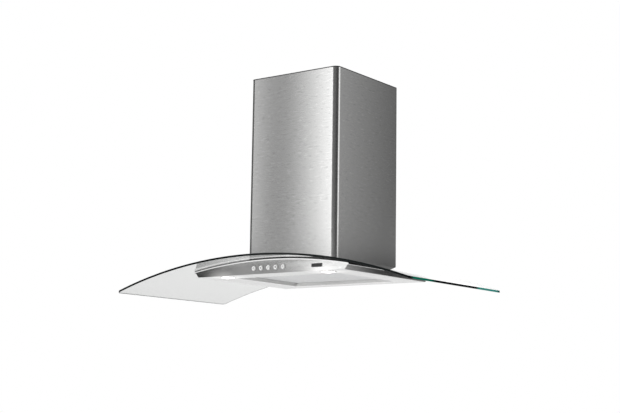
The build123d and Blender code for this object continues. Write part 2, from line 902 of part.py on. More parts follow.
# Bent strap on the wall that the upper cover's returns are screwed to
strap_half = upper_half - flue_sheet - flue_return - flue_strap_side_gap + flue_slide_gap
foot_front = upper_rear + flue_sheet + flue_strap_sheet
foot_half = upper_half - flue_sheet - flue_strap_foot_inset

with BuildPart() as upper_flue_bracket:
    with BuildSketch(Plane.XY.offset(strap_middle - flue_strap_height / 2)):
        with BuildLine():
            Polyline(
                (0, 0),
                (strap_half, 0),
                (strap_half, -(upper_rear + flue_sheet)),
                (foot_half, -(upper_rear + flue_sheet)),
                (foot_half, -foot_front),
                (strap_half - flue_strap_sheet, -foot_front),
                (strap_half - flue_strap_sheet, -flue_strap_sheet),
                (0, -flue_strap_sheet),
                close=True,
            )
        make_face()
        mirror(about=Plane.YZ)
    extrude(amount=flue_strap_height)
    with BuildSketch(Plane.XZ):
        with Locations((-flue_strap_hole_offset, strap_middle), (flue_strap_hole_offset, strap_middle)):
            Circle(flue_strap_hole_radius)
        with Locations((-screw_offset, strap_middle), (screw_offset, strap_middle)):
            Circle(flue_screw_radius)
    extrude(amount=flue_depth / 2, mode=Mode.SUBTRACT)
upper_flue_bracket.part.label = "upper_flue_bracket"
export_step(upper_flue_bracket.part, "parts/upper_flue_bracket.step")

with BuildPart() as upper_flue_screws:
    with BuildSketch(wall_plane(upper_rear - flue_screw_reach)):
        with Locations((-screw_offset, strap_middle), (screw_offset, strap_middle)):
            Circle(flue_screw_radius)
    extrude(amount=foot_front - upper_rear + flue_screw_reach)
    with BuildSketch(wall_plane(foot_front)):
        with Locations((-screw_offset, strap_middle), (screw_offset, strap_middle)):
            Circle(flue_screw_head_radius)
    extrude(amount=flue_screw_head_height)
upper_flue_screws.part.label = "upper_flue_screws"
export_step(upper_flue_screws.part, "parts/upper_flue_screws.step")

# Brackets on the blower box: a shelf for the upper cover, and a flange that the lower cover clips on
for hand, side in (("left", -1), ("right", 1)):
    with BuildPart() as flue_bracket:
        with BuildSketch(wall_plane(rest_depth - rest_width / 2)):
            with BuildLine():
                Polyline(
                    (side * box_half, rest_shelf),
                    (side * lower_inner_half, rest_shelf),
                    (side * lower_inner_half, rest_shelf - rest_leg),
                    (side * (lower_inner_half - rest_sheet), rest_shelf - rest_leg),
                    (side * (lower_inner_half - rest_sheet), rest_shelf - rest_sheet),
                    (side * (box_half + rest_sheet), rest_shelf - rest_sheet),
                    (side * (box_half + rest_sheet), rest_shelf - rest_leg),
                    (side * box_half, rest_shelf - rest_leg),
                    close=True,
                )
            make_face()
        extrude(amount=rest_width)
    flue_bracket.part.label = f"flue_bracket_{hand}"
    export_step(flue_bracket.part, f"parts/flue_bracket_{hand}.step")

# ---------------------------------------------------------------- wall bracket and blower box

hook_floor = wall_strap_bottom + hook_lift
hook_top = hook_floor + wall_strap_sheet
hook_front = wall_strap_sheet + hook_reach
wall_strap_half = box_half + wall_strap_overhang
wall_hole_pitch = 2 * (wall_strap_half - wall_hole_end_gap)

# Strap screwed to the wall, with two hooks that the blower box hangs on
with BuildPart() as wall_bracket:
    with BuildSketch(Plane.XZ):
        with Locations((0, wall_strap_bottom + wall_strap_height / 2)):
            Rectangle(2 * wall_strap_half, wall_strap_height)
            with GridLocations(wall_hole_pitch, 2 * wall_hole_rise, 2, 2):
                Circle(wall_hole_radius, mode=Mode.SUBTRACT)
    extrude(amount=wall_strap_sheet)
    for side in (-1, 1):
        with BuildSketch(Plane.YZ.offset(side * hook_offset - hook_width / 2)):
            with BuildLine():
                Polyline(
                    (-wall_strap_sheet / 2, hook_floor),
                    (-hook_front, hook_floor),
                    (-hook_front, hook_top + hook_upstand),
                    (-(hook_front - wall_strap_sheet), hook_top + hook_upstand),
                    (-(hook_front - wall_strap_sheet), hook_top),
                    (-wall_strap_sheet / 2, hook_top),
                    close=True,
                )
            make_face()
        extrude(amount=hook_width)
wall_bracket.part.label = "wall_bracket"
export_step(wall_bracket.part, "parts/wall_bracket.step")

duct_front = fan_depth + scroll_radius + 3 * scroll_growth
duct_rear = fan_depth
duct_half = scroll_half - scroll_wall

with BuildPart() as blower_box:
    with BuildSketch(Plane.XY):
        with Locations((0, -(box_front_depth + box_rear_depth) / 2)):
            Rectangle(box_width, box_front_depth - box_rear_depth)
    extrude(amount=box_top)
    with BuildSketch(Plane.XY):
        with Locations((0, -(box_front_depth + box_rear_depth) / 2)):
            Rectangle(2 * box_inner_half, box_front_depth - box_rear_depth - 2 * box_sheet)
    extrude(amount=box_top - box_sheet, mode=Mode.SUBTRACT)
    with BuildSketch(Plane.XZ):
        with BuildLine():
            under_arc(deck_radius, box_width, -glass_apex)
        make_face()
    extrude(amount=2 * box_front_depth, both=True, mode=Mode.SUBTRACT)
    # Flange folded in along the foot, lying on the deck
    with BuildSketch(wall_plane(box_rear_depth + box_sheet / 2)):
        with BuildLine():
            arc_band(deck_radius + box_sheet, deck_radius, box_half - box_sheet / 2)
        make_face()
    extrude(amount=box_front_depth - box_rear_depth - box_sheet)
    with BuildSketch(Plane.XY):
        with Locations((0, -(window_front + window_rear) / 2)):
            Rectangle(2 * window_half, window_front - window_rear)
    extrude(amount=2 * glass_apex, mode=Mode.SUBTRACT)
    # Outlet in the top plate, over the scroll's duct
    with BuildSketch(Plane.XY.offset(box_top - 2 * box_sheet)):
        with Locations((0, -(duct_front + duct_rear) / 2)):
            Rectangle(2 * duct_half, duct_front - duct_rear)
    extrude(amount=4 * box_sheet, mode=Mode.SUBTRACT)
    # Slots in the rear wall for the hooks of the wall bracket
    slot_top = hook_top + hook_rest_gap
    with BuildSketch(Plane.XZ):
        with Locations((0, slot_top - hook_slot_height / 2)):
            with GridLocations(2 * hook_offset, 1, 2, 1):
                Rectangle(hook_width + 2 * hook_slot_play, hook_slot_height)
    extrude(amount=box_rear_depth + 4 * box_sheet, mode=Mode.SUBTRACT)
blower_box.part.label = "blower_box"
export_step(blower_box.part, "parts/blower_box.step")

# ---------------------------------------------------------------- blower

# Plane of the fan: its local X points to the wall, its local Y up, and it looks along +X
fan_plane = Plane(origin=(0, -fan_depth, fan_height), x_dir=(0, 1, 0), z_dir=(1, 0, 0))
duct_top = box_top - box_sheet - fan_height


def scroll_outline(skin, top):
    """Spiral of three quarter arcs that widens into an upright duct, grown outwards by skin."""
    first = scroll_radius + skin
    second = first + scroll_growth
    third = second + scroll_growth
    start = (skin, sqrt(first * first - skin * skin))
    back = (first, 0)
    bottom = (-scroll_growth, -second)
    front = (-scroll_growth - third, scroll_growth)
    RadiusArc(start, back, first)
    RadiusArc(back, bottom, second)
    RadiusArc(bottom, front, third)
    Polyline(front, (front[0], top), (skin, top), start)


with BuildPart() as volute:
    with BuildSketch(fan_plane.offset(-scroll_half)):
        with BuildLine():
            scroll_outline(scroll_wall, duct_top)
        make_face()
    extrude(amount=scroll_width)
    with BuildSketch(fan_plane.offset(-duct_half)):
        with BuildLine():
            scroll_outline(0, duct_top)
        make_face()
    extrude(amount=2 * duct_half, mode=Mode.SUBTRACT)
    # Inlet on the left, and a hole for the shaft on the right
    with BuildSketch(fan_plane.offset(-scroll_width)):
        Circle(inlet_radius)
    extrude(amount=scroll_width, mode=Mode.SUBTRACT)
    with BuildSketch(fan_plane):
        Circle(shaft_hole_radius)
    extrude(amount=scroll_width, mode=Mode.SUBTRACT)
volute.part.label = "volute"
export_step(volute.part, "parts/volute.step")

# Bell mouth on the inlet
with BuildPart() as inlet_ring:
    with BuildSketch(fan_plane.offset(-scroll_half - inlet_ring_wall)):
        Circle(inlet_ring_radius)
        Circle(inlet_throat_radius, mode=Mode.SUBTRACT)
    extrude(amount=inlet_ring_wall)
    with BuildSketch(fan_plane.offset(-scroll_half - inlet_ring_height)):
        Circle(inlet_throat_radius + 2 * inlet_ring_wall)
        Circle(inlet_throat_radius, mode=Mode.SUBTRACT)
    extrude(amount=inlet_ring_height)
    mouth = inlet_ring.faces().sort_by(Axis.X)[0].edges().sort_by(SortBy.RADIUS)[0]
    fillet(mouth, inlet_ring_wall)
inlet_ring.part.label = "inlet_ring"
export_step(inlet_ring.part, "parts/inlet_ring.step")

wheel_left = -(duct_half - impeller_end_gap)
wheel_right = duct_half - impeller_end_gap
with BuildPart() as impeller:
    with BuildSketch(fan_plane.offset(wheel_left)):
        with PolarLocations(impeller_radius - impeller_blade_depth / 2, impeller_blades):
            Rectangle(impeller_blade_depth, impeller_blade_thickness, rotation=impeller_blade_angle)
    extrude(amount=wheel_right - wheel_left)
    with BuildSketch(fan_plane.offset(wheel_left)):
        Circle(impeller_radius)
        Circle(impeller_radius - impeller_blade_depth, mode=Mode.SUBTRACT)
    extrude(amount=impeller_plate)
    with BuildSketch(fan_plane.offset(wheel_right)):
        Circle(impeller_radius)
    extrude(amount=-impeller_plate)
    with BuildSketch(fan_plane.offset(wheel_right)):
        Circle(impeller_hub_radius)
    extrude(amount=-impeller_hub_length)
    with BuildSketch(fan_plane.offset(wheel_right)):
        Circle(shaft_radius)
    extrude(amount=-impeller_hub_length, mode=Mode.SUBTRACT)
impeller.part.label = "impeller"
export_step(impeller.part, "parts/impeller.step")

motor_left = scroll_half
motor_right = motor_left + motor_length
motor_middle = motor_left + motor_length / 2

with BuildPart() as motor_case:
    with BuildSketch(fan_plane.offset(motor_left)):
        Circle(motor_radius)
    extrude(amount=motor_length)
    with BuildSketch(fan_plane.offset(motor_left + motor_wall)):
        Circle(motor_radius - motor_wall)
    extrude(amount=motor_length - 2 * motor_wall, mode=Mode.SUBTRACT)
    for start in (motor_left, motor_right - bearing_length):
        with BuildSketch(fan_plane.offset(start)):
            Circle(bearing_radius + bearing_boss_wall)
        extrude(amount=bearing_length)
    with BuildSketch(fan_plane.offset(motor_left)):
        Circle(bearing_radius)
    extrude(amount=motor_length, mode=Mode.SUBTRACT)
motor_case.part.label = "motor_case"
export_step(motor_case.part, "parts/motor_case.step")

with BuildPart() as motor_bearings:
    for start in (motor_left, motor_right - bearing_length):
        with BuildSketch(fan_plane.offset(start)):
            Circle(bearing_radius)
            Circle(shaft_radius + shaft_running_gap, mode=Mode.SUBTRACT)
        extrude(amount=bearing_length)
motor_bearings.part.label = "motor_bearings"
export_step(motor_bearings.part, "parts/motor_bearings.step")

with BuildPart() as motor_stator:
    with BuildSketch(fan_plane.offset(motor_middle - stator_length / 2)):
        Circle(motor_radius - motor_wall - stator_gap)
        Circle(rotor_radius + rotor_air_gap, mode=Mode.SUBTRACT)
    extrude(amount=stator_length)
motor_stator.part.label = "motor_stator"
export_step(motor_stator.part, "parts/motor_stator.step")

with BuildPart() as motor_rotor:
    with BuildSketch(fan_plane.offset(motor_middle - rotor_length / 2)):
        Circle(rotor_radius)
        Circle(shaft_radius, mode=Mode.SUBTRACT)
    extrude(amount=rotor_length)
motor_rotor.part.label = "motor_rotor"
export_step(motor_rotor.part, "parts/motor_rotor.step")

shaft_start = wheel_right - impeller_hub_length
with BuildPart() as motor_shaft:
    with BuildSketch(fan_plane.offset(shaft_start)):
        Circle(shaft_radius)
    extrude(amount=motor_right + shaft_end_proud - shaft_start)
motor_shaft.part.label = "motor_shaft"
export_step(motor_shaft.part, "parts/motor_shaft.step")

# ---------------------------------------------------------------- outlet collar and damper

collar_plane = Plane(origin=(0, -collar_depth, box_top), x_dir=(1, 0, 0), z_dir=(0, 0, 1))
collar_bore = collar_radius - collar_wall
ledge_top = damper_rise - damper_flap_thickness / 2 - damper_rest_gap

with BuildPart() as outlet_collar:
    with BuildSketch(collar_plane):
        Circle(collar_flange_radius)
    extrude(amount=collar_flange_thickness)
    with BuildSketch(collar_plane):
        Circle(collar_radius)
    extrude(amount=collar_height)
    with BuildSketch(collar_plane):
        Circle(collar_bore)
    extrude(amount=collar_height, mode=Mode.SUBTRACT)
    # Ledge that the closed flaps rest on
    with BuildSketch(collar_plane.offset(ledge_top)):
        Circle(collar_bore + collar_wall / 2)
        Circle(collar_bore - collar_ledge_width, mode=Mode.SUBTRACT)
    extrude(amount=-collar_ledge_thickness)
    with BuildSketch(Plane.YZ):
        with Locations((-collar_depth, damper_height)):
            Circle(damper_pin_radius)
    extrude(amount=2 * collar_radius, both=True, mode=Mode.SUBTRACT)
outlet_collar.part.label = "outlet_collar"
export_step(outlet_collar.part, "parts/outlet_collar.step")

with BuildPart() as damper_pin:
    with BuildSketch(Plane.YZ):
        with Locations((-collar_depth, damper_height)):
            Circle(damper_pin_radius)
    extrude(amount=collar_radius - damper_pin_recess, both=True)
damper_pin.part.label = "damper_pin"
export_step(damper_pin.part, "parts/damper_pin.step")

# Two half-round flaps on the one pin. Their knuckles take turns along it.
flap_radius = collar_bore - damper_flap_gap
knuckle_pitch = damper_knuckle_length + damper_knuckle_gap
flap_mid_plane = collar_plane.offset(damper_rise - damper_flap_thickness / 2)

for name, way, first_knuckle in (("front", -1, -1.5), ("rear", 1, -0.5)):
    knuckle_centres = [first_knuckle * knuckle_pitch, (first_knuckle + 2) * knuckle_pitch]
    with BuildPart() as damper_flap:
        with BuildSketch(flap_mid_plane):
            Circle(flap_radius)
            with Locations((0, -way * (flap_radius - damper_flap_start))):
                Rectangle(2 * flap_radius, 2 * flap_radius, mode=Mode.SUBTRACT)
            for centre in knuckle_centres:
                with Locations((centre, way * damper_flap_start / 2)):
                    Rectangle(damper_knuckle_length, damper_flap_start + damper_flap_thickness)
        extrude(amount=damper_flap_thickness)
        for centre in knuckle_centres:
            with BuildSketch(Plane.YZ.offset(centre - damper_knuckle_length / 2)):
                with Locations((-collar_depth, damper_height)):
                    Circle(damper_knuckle_radius)
            extrude(amount=damper_knuckle_length)
        with BuildSketch(Plane.YZ):
            with Locations((-collar_depth, damper_height)):
                Circle(damper_pin_radius + damper_pin_gap)
        extrude(amount=collar_radius, both=True, mode=Mode.SUBTRACT)
    damper_flap.part.label = f"damper_flap_{name}"
    export_step(damper_flap.part, f"parts/damper_flap_{name}.step")

# ---------------------------------------------------------------- control box

control_middle = control_rear_depth + control_length / 2
control_top = box_top + control_height

with BuildPart() as control_box:
    with BuildSketch(Plane.XY.offset(box_top)):
        with Locations((0, -control_middle)):
            RectangleRounded(control_width, control_length, control_corner)
    extrude(amount=control_height)
    with BuildSketch(Plane.XY.offset(box_top + control_wall)):
        with Locations((0, -control_middle)):
            Rectangle(control_width - 2 * control_wall, control_length - 2 * control_wall)
    extrude(amount=control_height, mode=Mode.SUBTRACT)
control_box.part.label = "control_box"
export_step(control_box.part, "parts/control_box.step")

with BuildPart() as control_box_cover:
    with BuildSketch(Plane.XY.offset(control_top)):
        with Locations((0, -control_middle)):
            RectangleRounded(control_width, control_length, control_corner)
        with Locations((gland_offset, -control_middle)):
            Circle(gland_thread_radius, mode=Mode.SUBTRACT)
    extrude(amount=control_cover_thickness)
control_box_cover.part.label = "control_box_cover"
export_step(control_box_cover.part, "parts/control_box_cover.step")

# Cable gland for the supply lead, in the cover
gland_seat = control_top + control_cover_thickness
gland_top = gland_seat + gland_hex_height + gland_dome_height
with BuildPart() as cable_gland:
    with BuildSketch(Plane.XY.offset(control_top - gland_tail)):
        with Locations((gland_offset, -control_middle)):
            Circle(gland_thread_radius)
    extrude(amount=gland_tail + control_cover_thickness)
    with BuildSketch(Plane.XY.offset(gland_seat)):
        with Locations((gland_offset, -control_middle)):
            RegularPolygon(gland_hex_flats / 2, 6, major_radius=False)
    extrude(amount=gland_hex_height)
    with BuildSketch(Plane.XY.offset(gland_seat)):
        with Locations((gland_offset, -control_middle)):
            Circle(gland_dome_radius)
    extrude(amount=gland_hex_height + gland_dome_height)
    fillet(cable_gland.faces().sort_by(Axis.Z)[-1].edges(), gland_dome_round)
    with BuildSketch(Plane.XY.offset(control_top - gland_tail)):
        with Locations((gland_offset, -control_middle)):
            Circle(gland_bore_radius)
    extrude(amount=gland_top, mode=Mode.SUBTRACT)
cable_gland.part.label = "cable_gland"
export_step(cable_gland.part, "parts/cable_gland.step")

with BuildPart() as run_capacitor:
    with BuildSketch(Plane.XY.offset(box_top + control_wall)):
        with Locations((capacitor_offset, -control_middle)):
            RectangleRounded(capacitor_length, capacitor_width, capacitor_corner)
    extrude(amount=capacitor_height)
run_capacitor.part.label = "run_capacitor"
export_step(run_capacitor.part, "parts/run_capacitor.step")

print("body side slant from upright, degrees:", round(degrees(side_slant), 2))
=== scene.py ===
"""Looks of a curved-glass chimney range hood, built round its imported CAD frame.

All places are in metres in the frame's own axes: X to the right, Y back to the wall and
Z up, with Z = 0 at the lower rim of the steel body. Sizes are written in millimetres
times MM. Flat stock is laid out on (along, across) coordinates, which also carry the
brushed grain, and is then bent or folded into place.
"""

import logging
import math
from collections.abc import Callable, Iterable, Sequence
from dataclasses import dataclass, field
from enum import Enum
from functools import cached_property
from itertools import accumulate, pairwise

import bpy
import numpy as np
from mathutils import Matrix, Vector
from mathutils.geometry import delaunay_2d_cdt

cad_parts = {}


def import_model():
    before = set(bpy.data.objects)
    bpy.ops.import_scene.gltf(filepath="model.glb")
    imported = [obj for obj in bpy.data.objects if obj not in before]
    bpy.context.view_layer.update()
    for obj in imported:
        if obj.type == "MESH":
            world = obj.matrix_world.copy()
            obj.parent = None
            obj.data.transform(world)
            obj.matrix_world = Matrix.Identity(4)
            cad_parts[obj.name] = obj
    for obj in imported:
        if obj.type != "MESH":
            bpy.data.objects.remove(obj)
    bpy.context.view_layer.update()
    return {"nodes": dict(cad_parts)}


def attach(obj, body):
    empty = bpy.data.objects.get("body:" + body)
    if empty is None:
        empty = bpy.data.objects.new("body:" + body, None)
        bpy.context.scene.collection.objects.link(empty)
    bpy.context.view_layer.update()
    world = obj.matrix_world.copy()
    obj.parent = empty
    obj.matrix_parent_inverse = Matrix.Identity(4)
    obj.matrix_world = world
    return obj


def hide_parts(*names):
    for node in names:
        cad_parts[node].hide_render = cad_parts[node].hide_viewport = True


LOG = logging.getLogger("range_hood")

MM = 0.001
TINY = 1e-7
SEAM = 0.02 * MM  # Step that keeps two touching faces apart
NOISE = (0.3, 0.7)  # Most values of a noise texture lie between these
STOCK_MAP = "stock"
LAMP_SPOTS = ((-158 * MM, -337 * MM), (158 * MM, -337 * MM))
MIDDLE = Vector((0, -0.2, 0.2))  # Middle of the hood, which the camera and the lamps look at

Flat = tuple[float, float]
Colour = tuple[float, float, float]
Place = Callable[[float, float, float], Vector]
Socket = bpy.types.NodeSocket
Value = float | Sequence[float] | Socket


class Body(Enum):
    """Bodies of the CAD frame that pieces ride on."""

    HOOD = "hood"
    UPPER_FLUE = "upper_flue"
    FILTER = "grease_filter"
    BUTTON_1 = "button_1"
    BUTTON_2 = "button_2"
    BUTTON_3 = "button_3"
    BUTTON_4 = "button_4"
    BUTTON_5 = "button_5"


class Axis(Enum):
    """Directions that turned parts are made along."""

    TO_ROOM = Matrix(((1, 0, 0), (0, 0, -1), (0, 1, 0)))
    UP = Matrix(((1, 0, 0), (0, 1, 0), (0, 0, 1)))
    DOWN = Matrix(((1, 0, 0), (0, -1, 0), (0, 0, -1)))


# --- outlines


def pairs(loop: Sequence) -> Iterable[tuple]:
    """Each item of a loop with the next one, and the last with the first."""
    return zip(loop, [*loop[1:], loop[0]], strict=True)


def distances(points: Sequence[Flat]) -> list[float]:
    """Distance of each point from the first, along the line through them."""
    return [0.0, *accumulate(math.dist(a, b) for a, b in pairwise(points))]


def arc(centre: Flat, radii: Flat, start: float, end: float, steps: int) -> list[Flat]:
    """Points along an arc of a circle or an ellipse, both ends included.

    Args:
        centre: Middle of the arc.
        radii: Its radius along each coordinate.
        start: Angle of its first point in degrees.
        end: Angle of its last point.
        steps: Chords in it.

    Returns:
        The points.
    """
    (x, y), (wide, high) = centre, radii
    angles = [math.radians(start + (end - start) * k / steps) for k in range(steps + 1)]
    return [(x + wide * math.cos(angle), y + high * math.sin(angle)) for angle in angles]


def circle(centre: Flat, radius: float, count: int = 32) -> list[Flat]:
    """Anticlockwise points round a circle."""
    return arc(centre, (radius, radius), 0, 360, count)[:-1]


def rounded(corners: Sequence[Flat], radii: Sequence[float], steps: int = 6) -> list[Flat]:
    """Outline with its corners rounded by arcs.

    Args:
        corners: Corners of the outline, in order.
        radii: Rounding radius of each corner, 0 for a sharp one.
        steps: Chords in each arc.

    Returns:
        The points of the rounded outline.
    """
    points: list[Flat] = []
    for k, radius in enumerate(radii):
        here = Vector(corners[k])
        ends = (corners[k - 1], corners[(k + 1) % len(corners)])
        back, ahead = ((Vector(end) - here).normalized() for end in ends)
        if radius <= 0:
            points.append(tuple(here))
            continue
        half = back.angle(ahead) / 2
        middle = here + (back + ahead).normalized() * (radius / math.sin(half))
        start, end = (here + way * (radius / math.tan(half)) - middle for way in (back, ahead))
        sweep = start.angle_signed(end)
        for j in range(steps + 1):
            spoke = start.copy()
            spoke.rotate(Matrix.Rotation(-sweep * j / steps, 2))
            points.append(tuple(middle + spoke))
    return points


def mirrored(points: Sequence[Flat]) -> list[Flat]:
    """Right half of an outline, followed by its left half from the end back to the start."""
    return [*points, *((-x, y) for x, y in reversed(points))]


def rectangle(low: Flat, high: Flat, radius: float = 0.0, steps: int = 6) -> list[Flat]:
    """Anticlockwise rectangle between two corners, with rounded corners if radius is given."""
    return rounded([low, (high[0], low[1]), high, (low[0], high[1])], [radius] * 4, steps)


def long_hole(centre: Flat, length: float, width: float, steps: int = 6) -> list[Flat]:
    """Anticlockwise outline of a hole with round ends, lying along the first coordinate."""
    (x, y), half, rise = centre, length / 2, width / 2
    return rectangle((x - half, y - rise), (x + half, y + rise), rise - TINY, steps)


def cross(unit: float) -> list[Flat]:
    """Outline of a plus sign, six units wide with arms two units wide."""
    turns, notch = ((1, 0), (0, 1), (-1, 0), (0, -1)), ((-3, -1), (-1, -1), (-1, -3))
    return [(unit * (x * c - y * s), unit * (x * s + y * c)) for c, s in turns for x, y in notch]


def spaced(start: float, end: float, pitch: float) -> list[float]:
    """Evenly spaced numbers from start to end, both included, about pitch apart."""
    count = max(1, round(abs(end - start) / pitch))
    return [start + (end - start) * k / count for k in range(count + 1)]


def area_of(loop: Sequence[Flat]) -> float:
    """Signed area of a loop, above zero if it runs anticlockwise."""
    return sum(ax * by - bx * ay for (ax, ay), (bx, by) in pairs(loop)) / 2


def split_at(loop: Sequence[Flat], columns: Sequence[float]) -> list[Flat]:
    """Loop with a point added wherever an edge crosses one of the columns.

    Args:
        loop: Points of the loop.
        columns: First coordinates of the columns.

    Returns:
        The points of the loop and the added ones.
    """
    points: list[Flat] = []
    for (ax, ay), (bx, by) in pairs(loop):
        points.append((ax, ay))
        low, high = min(ax, bx) + TINY, max(ax, bx) - TINY
        crossed = sorted((c for c in columns if low < c < high), reverse=bx < ax)
        points.extend((c, ay + (by - ay) * (c - ax) / (bx - ax)) for c in crossed)
    return points


def drawn_in(loop: Sequence[Flat], amount: float) -> list[Flat]:
    """Loop moved towards its left side, which is where the material is.

    Args:
        loop: Points of the loop.
        amount: Distance moved.

    Returns:
        As many points as the loop has.
    """
    sharpest = 0.35  # Keeps a sharp corner from shooting out
    moved: list[Flat] = []
    for k, (x, y) in enumerate(loop):
        before, after = loop[k - 1], loop[(k + 1) % len(loop)]
        first = Vector((x - before[0], y - before[1])).normalized()
        second = Vector((after[0] - x, after[1] - y)).normalized()
        left = Vector((-first.y - second.y, first.x + second.x))
        reach = amount / max(sharpest, left.length / 2)
        left = left.normalized() * reach if left.length > TINY else Vector((0, 0))
        moved.append((x + left.x, y + left.y))
    return moved if amount else list(loop)


def inside(points: np.ndarray, loops: Sequence[Sequence[Flat]]) -> np.ndarray:
    """Which points lie in the material between the loops, by the even-odd rule.

    Args:
        points: The points, one in each row.
        loops: The outline and its holes.

    Returns:
        For each point, whether it is in the material.
    """
    odd = np.zeros(len(points), bool)
    for (ax, ay), (bx, by) in (edge for loop in loops for edge in pairs(loop)):
        if ay != by:
            spans = (ay > points[:, 1]) != (by > points[:, 1])
            cut = ax + (points[:, 1] - ay) * (bx - ax) / (by - ay)
            odd ^= spans & (points[:, 0] < cut)
    return odd


# --- meshes


class Stock:
    """Vertices and faces of one mesh, with the place of each vertex on the flat stock."""

    def __init__(self) -> None:
        """Starts an empty mesh."""
        self.points: list[Vector] = []
        self.marks: list[Flat] = []
        self.faces: list[tuple[int, ...]] = []
        self.slots: list[int] = []
        self.sharp: set[frozenset[int]] = set()

    def point(self, place: Vector, mark: Flat) -> int:
        """Adds a vertex.

        Args:
            place: Its place in the frame.
            mark: Its place on the flat stock.

        Returns:
            Its number.
        """
        self.points.append(place)
        self.marks.append(mark)
        return len(self.points) - 1

    def face(self, corners: Sequence[int], slot: int = 0, flip: bool = False) -> None:
        """Adds a face, turned over if flip is set."""
        self.faces.append(tuple(reversed(corners)) if flip else tuple(corners))
        self.slots.append(slot)

    def ring_faces(self, first: list[int], second: list[int], slot: int, flip: bool) -> None:
        """Joins two rings of as many points with a band of quads."""
        for (a, b), (d, c) in zip(pairs(first), pairs(second), strict=True):
            self.face((a, b, c, d), slot, flip)

    def crease(self, *rings: Sequence[int]) -> None:
        """Marks the edges round closed rings as sharp."""
        for ring in rings:
            self.sharp.update(frozenset(edge) for edge in pairs(ring))

    def plate(
        self,
        loops: Sequence[Sequence[Flat]],
        thickness: float,
        place: Place,
        edge: float,
        columns: Sequence[float] = (),
        rim_slots: Sequence[int] = (0,),
        steps: int = 2,
    ) -> None:
        """Adds a plate with rounded edges, laid out flat and then put in place.

        Args:
            loops: The outline, then its holes.
            thickness: Thickness of the plate.
            place: Turns along, across and lift into a place in the frame.
            edge: Radius that the plate's edges are rounded by.
            columns: Places along which the plate is bent.
            rim_slots: Material slots of the rim, shared out from the top down.
            steps: Chords in each rounded edge.
        """
        runs = [split_at(loop, columns) for loop in loops]
        runs = [run if (area_of(run) > 0) == (k == 0) else run[::-1] for k, run in enumerate(runs)]
        x, y = runs[0][0]
        middle = place(x, y, 0)
        across = (place(x + MM, y, 0) - middle).cross(place(x, y + MM, 0) - middle)
        flip = across.dot(place(x, y, MM) - middle) < 0
        profile = arc((edge, thickness - edge), (edge, edge), 90, 180, steps)
        profile += [(inset, thickness - lift) for inset, lift in reversed(profile)]
        rings = [
            [
                [self.point(place(px, py, lift), (px, py)) for px, py in drawn_in(run, inset)]
                for inset, lift in profile
            ]
            for run in runs
        ]
        for ring in rings:
            for k, (upper, lower) in enumerate(pairwise(ring)):
                slot = rim_slots[k * len(rim_slots) // (len(profile) - 1)]
                self.ring_faces(upper, lower, slot, not flip)
            self.crease(ring[0], ring[-1])
        self.skins(runs, rings, profile[0][0], columns, flip)

    def skins(
        self,
        runs: Sequence[Sequence[Flat]],
        rings: Sequence[Sequence[list[int]]],
        inset: float,
        columns: Sequence[float],
        flip: bool,
    ) -> None:
        """Fills the plate's two broad faces.

        Args:
            runs: The plate's loops, the outline first.
            rings: Vertex numbers of each loop at each step of the rim.
            inset: How far the broad faces end from the loops.
            columns: Places along which the plate is bent.
            flip: Whether the place turns the plate inside out.
        """
        flat = [drawn_in(run, inset) for run in runs]
        spots = [Vector(spot) for run in flat for spot in run]
        edges: list[tuple[int, int]] = []
        for run in runs:
            edges += pairs(range(len(edges), len(edges) + len(run)))
        known = [spot for run in runs for spot in run]
        for column in columns:
            on_it = [k for k, spot in enumerate(known) if abs(spot[0] - column) < TINY]
            folds = list(pairwise(sorted(on_it, key=lambda k: known[k][1])))
            if folds:
                halves = np.array([(spots[a] + spots[b]) / 2 for a, b in folds])
                edges += [fold for fold, good in zip(folds, inside(halves, flat), strict=True) if good]
        found = delaunay_2d_cdt(spots, edges, [], 0, TINY, True)
        faces = np.array(found[2])
        centres = np.array([tuple(spot) for spot in found[0]])[faces].mean(axis=1)
        came_from = [origins[0] for origins in found[3]]
        top, bottom = ([number for ring in rings for number in ring[end]] for end in (0, -1))
        for corners, good in zip(faces, inside(centres, flat), strict=True):
            if good:
                self.face([top[came_from[k]] for k in corners], 0, flip)
                self.face([bottom[came_from[k]] for k in corners], 0, not flip)

    def sweep(self, path: Sequence[Flat], section: Sequence[Flat], place: Place, slot: int = 0) -> None:
        """Adds a closed section carried round a closed flat path.

        Args:
            path: The path, anticlockwise.
            section: Points of the section, as (outwards, up), clockwise.
            place: Turns along, across and lift into a place in the frame.
            slot: Material slot of the faces.
        """
        rings: list[list[int]] = []
        for (out, up), across in zip(section, distances(section), strict=True):
            spots = drawn_in(path, -out)
            marked = zip(spots, distances(spots), strict=True)
            rings.append([self.point(place(x, y, up), (along, across)) for (x, y), along in marked])
        for near, far in pairs(rings):
            self.ring_faces(near, far, slot, False)

    def turned(
        self,
        profile: Sequence[Flat],
        centre: Vector,
        axis: Axis,
        count: int = 40,
        slots: Sequence[int] = (),
    ) -> None:
        """Adds a turned part.

        Args:
            profile: Points as (radius, lift), from the front on the axis to its back. A
                profile that doesn't start on the axis is closed into a ring.
            centre: Place of lift 0 on the axis.
            axis: Direction of lift.
            count: Points round each ring.
            slots: Material slot of each band of the profile, 0 if not given.
        """
        rings: list[list[int]] = []
        for (radius, lift), across in zip(profile, distances(profile), strict=True):
            spots = circle((0, 0), radius, count) if radius > 0 else [(0.0, 0.0)]
            chord = 2 * math.pi / count * max(radius, MM)
            places = [centre + axis.value @ Vector((x, y, lift)) for x, y in spots]
            rings.append([self.point(place, (k * chord, across)) for k, place in enumerate(places)])
        bands = pairs(rings) if profile[0][0] > 0 else pairwise(rings)
        for band, (first, second) in enumerate(bands):
            slot = slots[band] if slots else 0
            if len(first) == len(second) == count:
                self.ring_faces(first, second, slot, True)
                continue
            flip = len(first) == 1
            tip, ring = (first[0], second) if flip else (second[0], first)
            for near, far in pairs(ring):
                self.face((near, far, tip), slot, flip)

